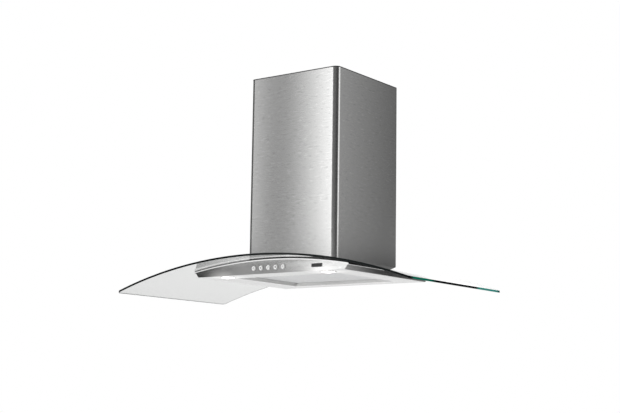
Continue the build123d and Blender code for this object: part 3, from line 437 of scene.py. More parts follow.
    def bar(
        self, section: Sequence[Flat], stations: Sequence[float], place: Place, slot: int = 0
    ) -> None:
        """Adds a bar of one section with closed ends.

        Args:
            section: Points of the section, anticlockwise.
            stations: Distances along the bar.
            place: Turns a distance and a point of the section into a place in the frame.
            slot: Material slot of the faces.
        """
        rings = [
            [self.point(place(along, x, y), (along, x + y)) for x, y in section] for along in stations
        ]
        centre, after = (sum((self.points[k] for k in ring), Vector()) / len(ring) for ring in rings[:2])
        first, second = (self.points[k] - centre for k in rings[0][:2])
        flip = first.cross(second).dot(after - centre) < 0
        for near, far in pairwise(rings):
            self.ring_faces(near, far, slot, flip)
        self.face(rings[0], slot, not flip)
        self.face(rings[-1], slot, flip)
        self.crease(rings[0], rings[-1])

    def mesh(self, name: str, angle: float = 40.0) -> bpy.types.Mesh:
        """Makes the mesh.

        Args:
            name: Name of the mesh.
            angle: Edges that turn by more degrees than this are sharp.

        Returns:
            The mesh, with its stock map.
        """
        made = bpy.data.meshes.new(name)
        made.from_pydata(self.points, [], self.faces)
        made.polygons.foreach_set("material_index", self.slots)
        made.polygons.foreach_set("use_smooth", [True] * len(self.faces))
        layer = made.uv_layers.new(name=STOCK_MAP)
        marks = [c for loop in made.loops for c in self.marks[loop.vertex_index]]
        layer.uv.foreach_set("vector", np.array(marks, np.float32))
        made.set_sharp_from_angle(angle=math.radians(angle))
        for edge in made.edges:
            if frozenset(edge.vertices) in self.sharp:
                edge.use_edge_sharp = True
        made.validate()
        made.update()
        return made


# --- shader graphs


class Graph:
    """Adds nodes to one node tree and links them."""

    def __init__(self, tree: bpy.types.NodeTree) -> None:
        """Keeps the tree."""
        self.tree = tree

    def set(self, node: bpy.types.Node, inputs: dict[str | int, Value]) -> None:
        """Links sockets to a node's inputs, and sets other inputs to plain values.

        Args:
            node: The node.
            inputs: The sockets and values by input.
        """
        for key, value in inputs.items():
            if isinstance(value, Socket):
                self.tree.links.new(value, node.inputs[key])
            else:
                node.inputs[key].default_value = value

    def add(
        self, kind: str, inputs: dict[str | int, Value] | None = None, **settings: object
    ) -> bpy.types.Node:
        """Adds a node.

        Args:
            kind: The node's type name.
            inputs: Values or sockets for its inputs.
            **settings: Other settings of the node.

        Returns:
            The node.
        """
        node = self.tree.nodes.new(kind)
        for key, value in settings.items():
            setattr(node, key, value)
        self.set(node, inputs or {})
        return node

    def math(self, operation: str, first: Value, second: Value = 0.0) -> Socket:
        """Result of a Math node."""
        return self.add("ShaderNodeMath", {0: first, 1: second}, operation=operation).outputs[0]

    def vector(self, operation: str, first: Value, second: Value) -> Socket:
        """Result of a Vector Math node."""
        return self.add("ShaderNodeVectorMath", {0: first, 1: second}, operation=operation).outputs[0]

    def scaled(self, vector: Value, scale: Value) -> Socket:
        """Vector times a number."""
        return self.add("ShaderNodeVectorMath", {0: vector, 3: scale}, operation="SCALE").outputs[0]

    def length(self, vector: Value) -> Socket:
        """Length of a vector."""
        return self.add("ShaderNodeVectorMath", {0: vector}, operation="LENGTH").outputs["Value"]

    def axes(self, vector: Value) -> Sequence[Socket]:
        """The three numbers of a vector."""
        return self.add("ShaderNodeSeparateXYZ", {0: vector}).outputs

    def span(
        self, value: Value, low: float, high: float, bottom: float = 0.0, top: float = 1.0
    ) -> Socket:
        """Value brought from between low and high to between bottom and top."""
        inputs = {"Value": value, "From Min": low, "From Max": high, "To Min": bottom, "To Max": top}
        return self.add("ShaderNodeMapRange", inputs).outputs["Result"]

    def blend(self, share: Value, first: Value, second: Value) -> Socket:
        """Colour between two colours."""
        return self.add("ShaderNodeMix", {0: share, 6: first, 7: second}, data_type="RGBA").outputs[2]

    def noise(self, vector: Value, scale: float = 1.0, detail: float = 2.0) -> Socket:
        """Value of a noise texture."""
        inputs = {"Vector": vector, "Scale": scale, "Detail": detail}
        return self.add("ShaderNodeTexNoise", inputs).outputs[0]

    def cells(self, vector: Value, feature: str = "F1") -> Sequence[Socket]:
        """Outputs of a cell texture with cells about one unit wide."""
        inputs = {"Vector": vector, "Scale": 1.0}
        return self.add("ShaderNodeTexVoronoi", inputs, feature=feature).outputs


class Effect(Graph):
    """A shared effect in the making: a shader node group with named inputs and outputs."""

    def __init__(self, name: str, **inputs: float) -> None:
        """Makes the group with a vector and the named numbers as its inputs.

        Args:
            name: Name of the group.
            **inputs: Default of each number.
        """
        super().__init__(bpy.data.node_groups.new(name, "ShaderNodeTree"))
        new_socket = self.tree.interface.new_socket
        new_socket(name="Vector", in_out="INPUT", socket_type="NodeSocketVector")
        for key, default in inputs.items():
            made = new_socket(name=key, in_out="INPUT", socket_type="NodeSocketFloat")
            made.default_value = default
        self.inlet = self.tree.nodes.new("NodeGroupInput").outputs

    def finished(self, **outputs: Socket) -> bpy.types.NodeTree:
        """Gives the group its outputs.

        Args:
            **outputs: Value of each output.

        Returns:
            The finished group.
        """
        for key in outputs:
            self.tree.interface.new_socket(name=key, in_out="OUTPUT", socket_type="NodeSocketFloat")
        self.add("NodeGroupOutput", outputs)
        return self.tree


class Effects:
    """The effects that several finishes share, each made once, when it is first asked for."""

    @cached_property
    def brushed(self) -> bpy.types.NodeTree:
        """Long scratches and short dashes of a brushed sheet, along the vector's first axis.

        Returns:
            The group.
        """
        finer, dashes = 6.0, (58.0, 260.0, 260.0)
        g = Effect("brushed_grain", Along=25.0, Across=350.0)
        across = g.inlet["Across"]
        scale = g.add("ShaderNodeCombineXYZ", {0: g.inlet["Along"], 1: across, 2: across})
        laid = g.vector("MULTIPLY", g.inlet["Vector"], scale.outputs[0])
        dash = g.noise(g.vector("MULTIPLY", g.inlet["Vector"], dashes), detail=0.0)
        return g.finished(
            Streak=g.span(g.noise(laid, detail=3.0), *NOISE),
            Fine=g.span(g.noise(g.scaled(laid, finer)), *NOISE),
            Glint=g.span(dash, 0.69, 0.75),
            Nick=g.span(dash, 0.31, 0.25),
        )

    @cached_property
    def handled(self) -> bpy.types.NodeTree:
        """Soft patches that cloths and hands leave on a wiped surface.

        Returns:
            The group.
        """
        g = Effect("handling_marks", Scale=9.0, Amount=1.0)
        size = g.scaled(g.inlet["Vector"], g.inlet["Scale"])
        wide = g.span(g.noise(size, detail=3.0), 0.42, 0.72)
        small = g.span(g.noise(size, 5.3), *NOISE, 0.4, 1.0)
        return g.finished(Mask=g.math("MULTIPLY", g.math("MULTIPLY", wide, small), g.inlet["Amount"]))

    @cached_property
    def grained(self) -> bpy.types.NodeTree:
        """Fine even grain of moulded plastic, rubber and castings.

        Returns:
            The group.
        """
        g = Effect("moulded_grain", Scale=1500.0)
        size = g.scaled(g.inlet["Vector"], g.inlet["Scale"])
        height = g.math("ADD", g.cells(size)["Distance"], g.noise(size, 0.7))
        return g.finished(Height=height, Speckle=g.noise(size, 0.05, 4.0))

    @cached_property
    def spangled(self) -> bpy.types.NodeTree:
        """Frost-like crystals of hot-dip zinc.

        Returns:
            The group.
        """
        g = Effect("zinc_spangle", Scale=90.0)
        size = g.scaled(g.inlet["Vector"], g.inlet["Scale"])
        bent = g.add("ShaderNodeTexNoise", {"Vector": size, "Scale": 1.6}).outputs["Color"]
        moved = g.vector("ADD", size, bent)
        shade = g.add("ShaderNodeSeparateColor", {0: g.cells(moved)["Color"]}).outputs[0]
        lines = g.cells(moved, "DISTANCE_TO_EDGE")["Distance"]
        return g.finished(Crystal=shade, Border=g.span(lines, 0.0, 0.12, 1.0, 0.0))

    @cached_property
    def edged(self) -> bpy.types.NodeTree:
        """Edges that handling has polished, from the mesh's own pointiness.

        Returns:
            The group.
        """
        g = Effect("edge_wear")
        ridge = g.span(g.add("ShaderNodeNewGeometry").outputs["Pointiness"], 0.52, 0.60)
        broken = g.span(g.noise(g.inlet["Vector"], 160.0, 3.0), 0.35, 0.6, 0.3, 1.0)
        return g.finished(Mask=g.math("MULTIPLY", ridge, broken))

    @cached_property
    def painted_lamp_glow(self) -> bpy.types.NodeTree:
        """Soft glow of the two lamps, painted on the steel next to them.

        Returns:
            The group.
        """
        apart, depth = LAMP_SPOTS[1]
        reach, falloff = (75 * MM, 62 * MM, 26 * MM), 2.0
        g = Effect("painted_lamp_glow_mask", Apart=apart, Depth=-depth)
        x, y, z = g.axes(g.inlet["Vector"])
        aside = g.math("SUBTRACT", g.math("ABSOLUTE", x), g.inlet["Apart"])
        ahead = g.math("ADD", y, g.inlet["Depth"])
        offset = g.add("ShaderNodeCombineXYZ", {0: aside, 1: ahead, 2: z}).outputs[0]
        away = g.length(g.vector("MULTIPLY", offset, [1 / size for size in reach]))
        return g.finished(Glow=g.math("POWER", g.span(away, 0, 1, 1, 0), falloff))


# --- finishes


class Work(Graph):
    """A material in the making: its Principled shader and what feeds it."""

    def __init__(self, name: str, effects: Effects) -> None:
        """Makes the material.

        Args:
            name: Name of the material.
            effects: The shared effects.
        """
        self.material = bpy.data.materials.new(name)
        self.material.use_nodes = True
        super().__init__(self.material.node_tree)
        self.effects = effects
        self.shader = self.tree.nodes["Principled BSDF"]
        self.stock = self.add("ShaderNodeUVMap", uv_map=STOCK_MAP).outputs[0]
        self.body = self.add("ShaderNodeTexCoord").outputs["Object"]

    def feed(self, inputs: dict[str, Value]) -> None:
        """Sets or links inputs of the shader."""
        self.set(self.shader, inputs)

    def effect(
        self, tree: bpy.types.NodeTree, vector: Socket | None = None, **values: float
    ) -> Sequence[Socket]:
        """Outputs of a shared effect, laid on the body's own axes if no vector is given."""
        inputs = {"Vector": vector or self.body, **values}
        return self.add("ShaderNodeGroup", inputs, node_tree=tree).outputs

    def bump(self, height: Socket, strength: float, distance: float = 0.1 * MM) -> None:
        """Tilts the surface's normals by a height."""
        inputs = {"Strength": strength, "Distance": distance, "Height": height}
        self.feed({"Normal": self.add("ShaderNodeBump", inputs).outputs[0]})


@dataclass(frozen=True)
class Finish:
    """A finish that a piece or a CAD node can be given.

    Attributes:
        name: Name of the material.
        colour: Plain colour.
        roughness: Plain roughness.
        shine: Specular level.
    """

    name: str
    colour: Colour
    roughness: float
    shine: float = 0.5

    def shade(self, share: float) -> tuple[float, ...]:
        """The finish's colour, as a share of it."""
        return (*(min(1.0, channel * share) for channel in self.colour), 1.0)

    def tone(self, work: Work, value: Socket, low: float, high: float) -> Socket:
        """Colour between two shades of the finish."""
        return work.blend(value, self.shade(low), self.shade(high))

    def gloss(self, work: Work, value: Socket, more: float, less: float = 0.0) -> None:
        """Lets the roughness follow a value from 0 to 1, from less than the plain one to more."""
        work.feed({"Roughness": work.span(value, 0, 1, self.roughness - less, self.roughness + more)})

    def build(self, effects: Effects) -> bpy.types.Material:
        """Makes the material.

        Args:
            effects: The shared effects.

        Returns:
            The material.
        """
        work = Work(self.name, effects)
        work.feed({"Base Color": (*self.colour, 1), "Roughness": self.roughness})
        work.feed({"Specular IOR Level": self.shine})
        self.detail(work)
        work.material.diffuse_color = (*self.colour, 1)
        return work.material

    def detail(self, work: Work) -> None:
        """Adds what makes this kind of finish. Each kind has its own."""
        raise NotImplementedError


@dataclass(frozen=True)
class Brushed(Finish):
    """Brushed sheet metal.

    Attributes:
        along: Scratches per metre along the brushing.
        across: Scratches per metre across it.
        contrast: How far a scratch's shade is from the plain colour.
        dash: The same for the short dashes between the scratches.
        stretch: Anisotropy of the gloss.
        on_stock: Whether the grain follows the flat stock, or the body's own X axis.
        painted_lamp_glow_strength: Strength of the lamps' glow painted on it as emission.
    """

    along: float = 16.0
    across: float = 600.0
    contrast: float = 0.025
    dash: float = 0.1
    stretch: float = 0.8
    on_stock: bool = True
    painted_lamp_glow_strength: float = 0.0

    def detail(self, work: Work) -> None:
        """Adds the scratches, the dashes and the lamps' painted glow.

        Args:
            work: The material in the making.
        """
        # Painted light: the lamps' glow is painted on the steel as emission.
        if self.painted_lamp_glow_strength:
            lit = work.effect(work.effects.painted_lamp_glow)["Glow"]
            glow = work.blend(lit, (0, 0, 0, 1), (1.0, 0.99, 0.97, 1))
            work.feed({"Emission Color": glow, "Emission Strength": self.painted_lamp_glow_strength})
        laid = work.stock if self.on_stock else work.body
        grain = work.effect(work.effects.brushed, laid, Along=self.along, Across=self.across)
        plain = self.tone(work, grain["Streak"], 1 - self.contrast, 1 + self.contrast)
        nicked = work.blend(grain["Nick"], plain, self.shade(1 - self.dash))
        colour = work.blend(grain["Glint"], nicked, self.shade(1 + self.dash))
        work.feed({"Base Color": colour, "Metallic": 1.0})
        self.gloss(work, grain["Streak"], less=0.015, more=0.015)
        work.bump(grain["Fine"], strength=0.1, distance=0.02 * MM)
        if self.on_stock:
            tangent = work.add("ShaderNodeTangent", direction_type="UV_MAP", uv_map=STOCK_MAP)
            work.feed({"Anisotropic": self.stretch, "Anisotropic Rotation": 0.25})
            work.feed({"Tangent": tangent.outputs[0]})


@dataclass(frozen=True)
class Plated(Finish):
    """Bare, polished or zinc-plated metal without a brushed grain."""

    def detail(self, work: Work) -> None:
        """Adds a fine grain and brighter edges.

        Args:
            work: The material in the making.
        """
        grain = work.effect(work.effects.grained, Scale=900.0)
        plain = self.tone(work, grain["Speckle"], 0.94, 1.04)
        worn = work.effect(work.effects.edged)["Mask"]
        work.feed({"Base Color": work.blend(worn, plain, self.shade(1.15)), "Metallic": 1.0})
        swing = self.roughness * 0.15
        self.gloss(work, work.span(grain["Speckle"], *NOISE), more=swing, less=swing)
        work.bump(grain["Height"], strength=0.05, distance=0.05 * MM)


@dataclass(frozen=True)
class Galvanised(Finish):
    """Hot-dip zinc on sheet steel."""

    def detail(self, work: Work) -> None:
        """Adds crystals with dark borders, and dull patches.

        Args:
            work: The material in the making.
        """
        dark, light, dull = 0.82, 1.12, 0.9
        zinc = work.effect(work.effects.spangled, Scale=85.0)
        marks = work.effect(work.effects.handled, Scale=11.0, Amount=0.4)
        plain = self.tone(work, zinc["Crystal"], dark, light)
        lined = work.blend(work.math("MULTIPLY", zinc["Border"], 0.25), plain, self.shade(dark))
        colour = work.blend(marks["Mask"], lined, self.shade(dull))
        work.feed({"Base Color": colour, "Metallic": 1.0})
        self.gloss(work, zinc["Crystal"], less=0.07, more=0.07)
        work.bump(zinc["Crystal"], strength=0.08)


@dataclass(frozen=True)
class Moulded(Finish):
    """Moulded plastic or rubber.

    Attributes:
        relief: Strength of the grain's bump.
        coat: Weight of a clear gloss.
    """

    relief: float = 0.12
    coat: float = 0.0

    def detail(self, work: Work) -> None:
        """Adds the grain, handling marks and the clear gloss.

        Args:
            work: The material in the making.
        """
        grain = work.effect(work.effects.grained, Scale=1400.0)
        work.feed({"Base Color": self.tone(work, grain["Speckle"], 0.92, 1.08)})
        self.gloss(work, work.effect(work.effects.handled, Scale=14.0)["Mask"], more=0.08)
        work.bump(grain["Height"], self.relief)
        work.feed({"Coat Weight": self.coat, "Coat Roughness": 0.08})


@dataclass(frozen=True)
class Glass(Finish):
    """Polished float glass."""

    def detail(self, work: Work) -> None:
        """Adds faint wiping marks.

        Args:
            work: The material in the making.
        """
        marks = work.effect(work.effects.handled, Scale=5.0)["Mask"]
        work.feed({"Base Color": self.tone(work, marks, 1.0, 0.985)})
        self.gloss(work, marks, more=0.012)
        work.feed({"Transmission Weight": 1.0, "IOR": 1.5})


@dataclass(frozen=True)
class PaintedGlassEdge(Finish):
    """Ground and polished edge of the glass, painted near-black as painted shade, with two painted green
    reflections along it.

    Attributes:
        deep: Colour of the painted reflection round the front corner.
        deep_run: Where along Y that painted reflection sets in, is full, starts to fade and ends.
        pale: Colour of the painted reflection towards the rear corner.
        pale_run: The same four places for it.
        side: Where along X both set in and are full.
        drift: How far their ends wander along X and Y.
    """

    deep: Colour = (0.0, 0.12, 0.075)
    deep_run: tuple[float, ...] = (-432 * MM, -420 * MM, -350 * MM, -325 * MM)
    pale: Colour = (0.04, 0.24, 0.205)
    pale_run: tuple[float, ...] = (-135 * MM, -105 * MM, -26 * MM, -14 * MM)
    side: Flat = (440 * MM, 446 * MM)
    drift: Flat = (6 * MM, 10 * MM)

    def detail(self, work: Work) -> None:
        """Adds the two painted green reflections with soft ends.

        Args:
            work: The material in the making.
        """
        noise = work.noise(work.body, 30.0)
        right, back = (
            work.math("ADD", axis, work.span(noise, *NOISE, -drift, drift))
            for axis, drift in zip(work.axes(work.body), self.drift, strict=False)
        )
        side = work.span(right, *self.side)
        colour = (*self.colour, 1)
        for (start, full, fade, end), tint in ((self.deep_run, self.deep), (self.pale_run, self.pale)):
            run = work.math("MULTIPLY", work.span(back, start, full), work.span(back, fade, end, 1, 0))
            colour = work.blend(work.math("MULTIPLY", run, side), colour, (*tint, 1))
        work.feed({"Base Color": colour, "IOR": 1.5})
        self.gloss(work, work.effect(work.effects.handled, Scale=30.0)["Mask"], more=0.1)


@dataclass(frozen=True)
class LampOrPaintedGlow(Finish):
    """Frosted lens with a lamp behind it, or a painted glow that stands in for the highlights on the
    button caps and bezel rings.

    Attributes:
        strength: Strength of the light, which on the buttons is a painted glow.
    """

    strength: float = 8.0

    def detail(self, work: Work) -> None:
        """Adds the frosting and the emission: a lamp's light in the lens, a painted glow on the buttons.

        Args:
            work: The material in the making.
        """
        grain = work.effect(work.effects.grained, Scale=700.0)
        frosted = self.tone(work, grain["Speckle"], 0.96, 1.0)
        work.feed({"Base Color": frosted, "Emission Color": frosted, "Emission Strength": self.strength})


@dataclass(frozen=True)
class Board(Finish):
    """Circuit board with its lacquer and tracks.

    Attributes:
        track: Colour of the tracks.
    """

    track: Colour = (0.10, 0.32, 0.12)

    def detail(self, work: Work) -> None:
        """Adds the tracks.

        Args:
            work: The material in the making.
        """
        inputs = {"Vector": work.body, "Scale": 220.0, "Mortar Size": 0.06}
        fields = work.add("ShaderNodeTexBrick", inputs).outputs["Fac"]
        speckle = work.effect(work.effects.grained, Scale=500.0)["Speckle"]
        tracks = work.blend(speckle, self.shade(1.0), (*self.track, 1))
        work.feed({"Base Color": work.blend(fields, tracks, self.shade(1.0))})
        self.gloss(work, work.span(speckle, *NOISE), less=0.05, more=0.05)


@dataclass(frozen=True)
class Laminated(Finish):
    """Stack of thin steel plates, seen on its side."""

    def detail(self, work: Work) -> None:
        """Adds the joints between the plates.

        Args:
            work: The material in the making.
        """
        plates_per_metre = 2000.0
        stack = work.math("FRACT", work.math("MULTIPLY", work.axes(work.body)[0], plates_per_metre))
        colour = self.tone(work, work.span(stack, 0.0, 0.3), 0.6, 1.1)
        work.feed({"Base Color": colour, "Metallic": 1.0})
        self.gloss(work, work.effect(work.effects.handled, Scale=40.0)["Mask"], more=0.2)
        work.bump(stack, strength=0.3)


class Look(Enum):
    """Every finish of the hood."""

    STEEL = Brushed("brushed_steel", (0.62, 0.62, 0.615), 0.25, contrast=0.02)
    # The steel of the deck, sides, fascia, underside and filter rim carries the lamps' glow painted on
    # as emission.
    BODY_STEEL = Brushed("brushed_body_steel", (0.60, 0.60, 0.595), 0.17, stretch=0.4, painted_lamp_glow_strength=1.2)
    UNDER_STEEL = Brushed("brushed_underside", (0.66, 0.66, 0.655), 0.28, stretch=0.3, painted_lamp_glow_strength=0.5)
    # Painted light: the recess walls take the underside's steel painted much lighter, to lift the shade
    # in the recess.
    RECESS_STEEL_PAINTED_LIGHTER = Brushed("recess_walls_painted_lighter", (0.92, 0.92, 0.915), 0.34, stretch=0.3)
    POLISHED = Plated("polished_steel", (0.84, 0.84, 0.83), 0.16)
    BEAD = Plated("rolled_bead_steel", (0.94, 0.94, 0.93), 0.22)
    ZINC = Plated("zinc_fastener", (0.56, 0.57, 0.56), 0.34)
    SHAFT = Plated("ground_shaft_steel", (0.52, 0.52, 0.53), 0.22)
    BRONZE = Plated("bearing_bronze", (0.55, 0.38, 0.20), 0.35)
    MAGNET = Plated("nickel_magnet", (0.42, 0.42, 0.43), 0.28)
    LAMP_CAN = Plated("pressed_aluminium", (0.72, 0.73, 0.74), 0.38)
    GALVANISED = Galvanised("galvanised_steel", (0.50, 0.52, 0.53), 0.42)
    MOTOR = Galvanised("motor_zinc", (0.42, 0.43, 0.44), 0.46)
    FILTER = Brushed(
        "filter_aluminium", (0.76, 0.765, 0.77), 0.32, along=30.0, across=500.0, on_stock=False
    )
    GLASS = Glass("smoked_glass", (0.70, 0.705, 0.70), 0.0)
    # Painted shade and painted reflections: the glass edge is painted near-black, with green reflections
    # painted along it.
    GLASS_EDGE_PAINTED = PaintedGlassEdge("glass_edge_painted_shade_and_reflections", (0.003, 0.005, 0.005), 0.12, shine=0.12)
    GLASS_RIM = Glass("tinted_glass_rim", (0.62, 0.68, 0.66), 0.15)
    RUBBER = Moulded("black_rubber", (0.006, 0.006, 0.006), 0.6, shine=0.2, relief=0.2)
    BLACK_PLASTIC = Moulded("black_plastic", (0.018, 0.018, 0.02), 0.42)
    GREY_PLASTIC = Moulded("grey_plastic", (0.22, 0.225, 0.23), 0.45)
    WHITE_PLASTIC = Moulded("white_plastic", (0.72, 0.72, 0.70), 0.40)
    CAP = Moulded("satin_button_cap", (0.26, 0.26, 0.26), 0.34, relief=0.03, coat=0.1)
    # Painted highlight: the caps' ridges and marks and the bezels' domes glow as emission though they
    # are no lamps.
    PEARL_PAINTED_GLOW = LampOrPaintedGlow("button_pearl_painted_glow", (0.90, 0.90, 0.89), 0.25, strength=0.30)
    RING_PAINTED_GLOW = LampOrPaintedGlow("button_ring_painted_glow", (0.94, 0.94, 0.93), 0.22, strength=0.36)
    BADGE = Moulded("badge_lacquer", (0.010, 0.010, 0.011), 0.30, relief=0.02, coat=0.25)
    LENS = LampOrPaintedGlow("lamp_frost", (1.0, 0.99, 0.97), 0.35)
    BOARD = Board("circuit_board", (0.03, 0.14, 0.05), 0.35)
    LED_BOARD = Moulded("white_board", (0.78, 0.78, 0.76), 0.35)
    LAMINATED = Laminated("lamination_steel", (0.36, 0.37, 0.38), 0.40)


# --- bench


class Bench:
    """Where pieces are put together: it gives them their finish, body and nodes."""

    def __init__(self, nodes: dict[str, bpy.types.Object]) -> None:
        """Keeps the CAD nodes and makes the shared effects.

        Args:
            nodes: The CAD nodes by name.
        """
        self.nodes = nodes
        self.effects = Effects()
        self.materials: dict[Look, bpy.types.Material] = {}

    def material(self, look: Look) -> bpy.types.Material:
        """Material of a finish, made the first time it is asked for."""
        made = self.materials
        return made.get(look) or made.setdefault(look, look.value.build(self.effects))

    def dress(self, look: Look, *names: str) -> None:
        """Gives CAD nodes that stay a finish.

        Args:
            look: The finish.
            *names: Names of the nodes.
        """
        for name in names:
            data = self.nodes[name].data
            data.materials.clear()
            data.materials.append(self.material(look))
            LOG.info("node %s stays, in %s", name, look.value.name)

    def fit(
        self,
        stock: Stock,
        name: str,
        looks: Sequence[Look],
        slot_name: str,
        *nodes: str,
        body: Body = Body.HOOD,
        angle: float = 40.0,
    ) -> None:
        """slot_name: The record's material slot; not used.
            *nodes: CAD nodes that the piece stands for.
            body: Body that the piece rides on.
            angle: Edges that turn by more degrees than this are sharp.
        """
        piece = bpy.data.objects.new(name, stock.mesh(name, angle))
        bpy.context.scene.collection.objects.link(piece)
        for look in looks:
            piece.data.materials.append(self.material(look))
        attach(piece, body.value)
        if nodes:
            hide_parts(*nodes)
        LOG.info("piece %s has %d faces", name, len(piece.data.polygons))


@dataclass
class Assembly:
    """A sub-assembly of the hood.

    Attributes:
        bench: Where its pieces are put together.
    """

    bench: Bench

    def build(self) -> None:
        """Builds the pieces and dresses the nodes. Each sub-assembly has its own."""
        raise NotImplementedError


# --- canopy


@dataclass(frozen=True)
class Arch:
    """The circle that the glass, the seal and the deck are bent to.

    Attributes:
        radius: Radius of the glass's upper face.
        apex: Height of its middle.
        pitch: Distance between the lines that bent stock is bent along.
    """

    radius: float = 1390 * MM
    apex: float = 43 * MM
    pitch: float = 12 * MM

    def height(self, radius: float, x: float) -> float:
        """Height at x of a circle about the arch's axis."""
        return self.apex - self.radius + math.sqrt(radius * radius - x * x)

    def place(self, under: float) -> Place:
        """Bends stock laid out in plan, whose lower face has the radius under."""
        return lambda x, y, lift: Vector((x, y, self.height(under + lift, x)))

    def columns(self, half: float) -> list[float]:
        """Lines to bend stock along, the outer ones half a width from the middle."""
        return spaced(-half, half, self.pitch)


ARCH = Arch()


def level_place(height: float) -> Place:
    """Lays stock out level at a height."""
    return lambda x, y, lift: Vector((x, y, height + lift))


def front_place(depth: float, spot: Flat = (0.0, 0.0)) -> Place:
    """Stands stock up facing the room, at a depth and round a spot of the front."""
    return lambda x, z, lift: Vector((spot[0] + x, -depth - lift, spot[1] + z))


def side_place(side: int, half: float, level: float) -> Place:
    """Runs a bar along a side edge, with its section's points as reach outwards and rise."""
    return lambda along, proud, up: Vector((side * (half + proud), along, level + up))


@dataclass
class Canopy(Assembly):
    """Glass canopy with its rubber seal and clamps.

    Attributes:
        half_width: Half the width of the glass.
        depth: Its depth from the wall.
        thickness: Its thickness.
        corner: Radius of its corners in plan.
        arris: Radius of its polished edges.
        notch: Half width and depth of the notch for the blower box.
        notch_corner: Radius of the notch's inner corners.
        clamp: Distance of the clamps from the middle.
        clamp_depths: Their distances from the wall.
        clamp_bore: Radius of their holes.
        seal_under: Radius of the seal's lower face.
        seal_thickness: Thickness of the seal.
        seal_width: Width of the seal.
        seal_half: Half the seal's outer width.
        seal_depth: Its outer depth.
        seal_corner: Radius of its front corners.
        seal_edge: Radius of its edges.
        skirt_size: Thickness of the seal's side lips and how far they hang over the deck's edge.
    """

    half_width: float = 450 * MM
    depth: float = 440 * MM
    thickness: float = 5 * MM
    corner: float = 8 * MM
    arris: float = 0.65 * MM
    notch: Flat = (108 * MM, 259 * MM)
    notch_corner: float = 2 * MM
    clamp: float = 121 * MM
    clamp_depths: Flat = (60 * MM, 220 * MM)
    clamp_bore: float = 6 * MM
    seal_under: float = 1382 * MM
    seal_thickness: float = 2.9 * MM
    seal_width: float = 12 * MM
    seal_half: float = 241 * MM
    seal_depth: float = 371 * MM
    seal_corner: float = 3 * MM
    seal_edge: float = 0.4 * MM
    skirt_size: Flat = (0.8 * MM, 0.9 * MM)

    def build(self) -> None:
        """Builds the glass and the seal, and dresses the clamps."""
        self.glass()
        self.seal()
        self.bench.dress(Look.RUBBER, "glass_bushes")
        self.bench.dress(Look.ZINC, "clamp_studs", "clamp_nuts")

    def glass(self) -> None:
        """Builds the bent sheet of glass."""
        half, (notch_half, notch_depth) = self.half_width, self.notch
        corners = mirrored(
            [(half, -self.depth), (half, 0), (notch_half, 0), (notch_half, -notch_depth)]
        )
        radii = [self.corner, self.corner, 0, self.notch_corner]
        loops = [rounded(corners, radii + radii[::-1], 8)]
        for side in (-1, 1):
            loops += [circle((side * self.clamp, -d), self.clamp_bore, 28) for d in self.clamp_depths]
        right, front = half - self.corner, self.corner - self.depth
        stock = Stock()
        place = ARCH.place(ARCH.radius - self.thickness)
        stock.plate(loops, self.thickness, place, self.arris, ARCH.columns(right), (1,), 3)
        # The front and right edges keep the edge finish with its painted shade and painted reflections;
        # the rest of the rim takes the tinted glass.
        spots = [stock.points[corners[0]] for corners in stock.faces]
        stock.slots = [
            2 if slot == 1 and spot.y >= front and spot.x <= right else slot
            for slot, spot in zip(stock.slots, spots, strict=True)
        ]
        looks = (Look.GLASS, Look.GLASS_EDGE_PAINTED, Look.GLASS_RIM)
        self.bench.fit(stock, "canopy_glass", looks, "glass", "glass_canopy")

    def seal(self) -> None:
        """Builds the black rubber frame under the glass and its lips over the deck's side edges."""
        out, back, wide = self.seal_half, self.seal_depth, self.seal_width
        gap, inner, corner = self.notch[0], out - wide, self.seal_corner
        half = [(out, -back), (out, 0), (gap, 0), (gap, -wide), (inner, -wide), (inner, wide - back)]
        outline = rounded(mirrored(half), [corner, *[0] * 10, corner], 4)
        place, columns = ARCH.place(self.seal_under), ARCH.columns(out - corner)
        stock = Stock()
        stock.plate([outline], self.seal_thickness, place, self.seal_edge, columns, steps=3)
        thick, hang = self.skirt_size
        section = rectangle((SEAM, 0), (thick, self.seal_thickness + hang), thick * 0.45, 3)
        level = ARCH.height(self.seal_under, out) - hang
        for side in (-1, 1):
            stock.bar(section, (-back, 0.0), side_place(side, out, level))
        self.bench.fit(stock, "rubber_seal", (Look.RUBBER,), "black_rubber", "canopy_seal")


# --- steel body


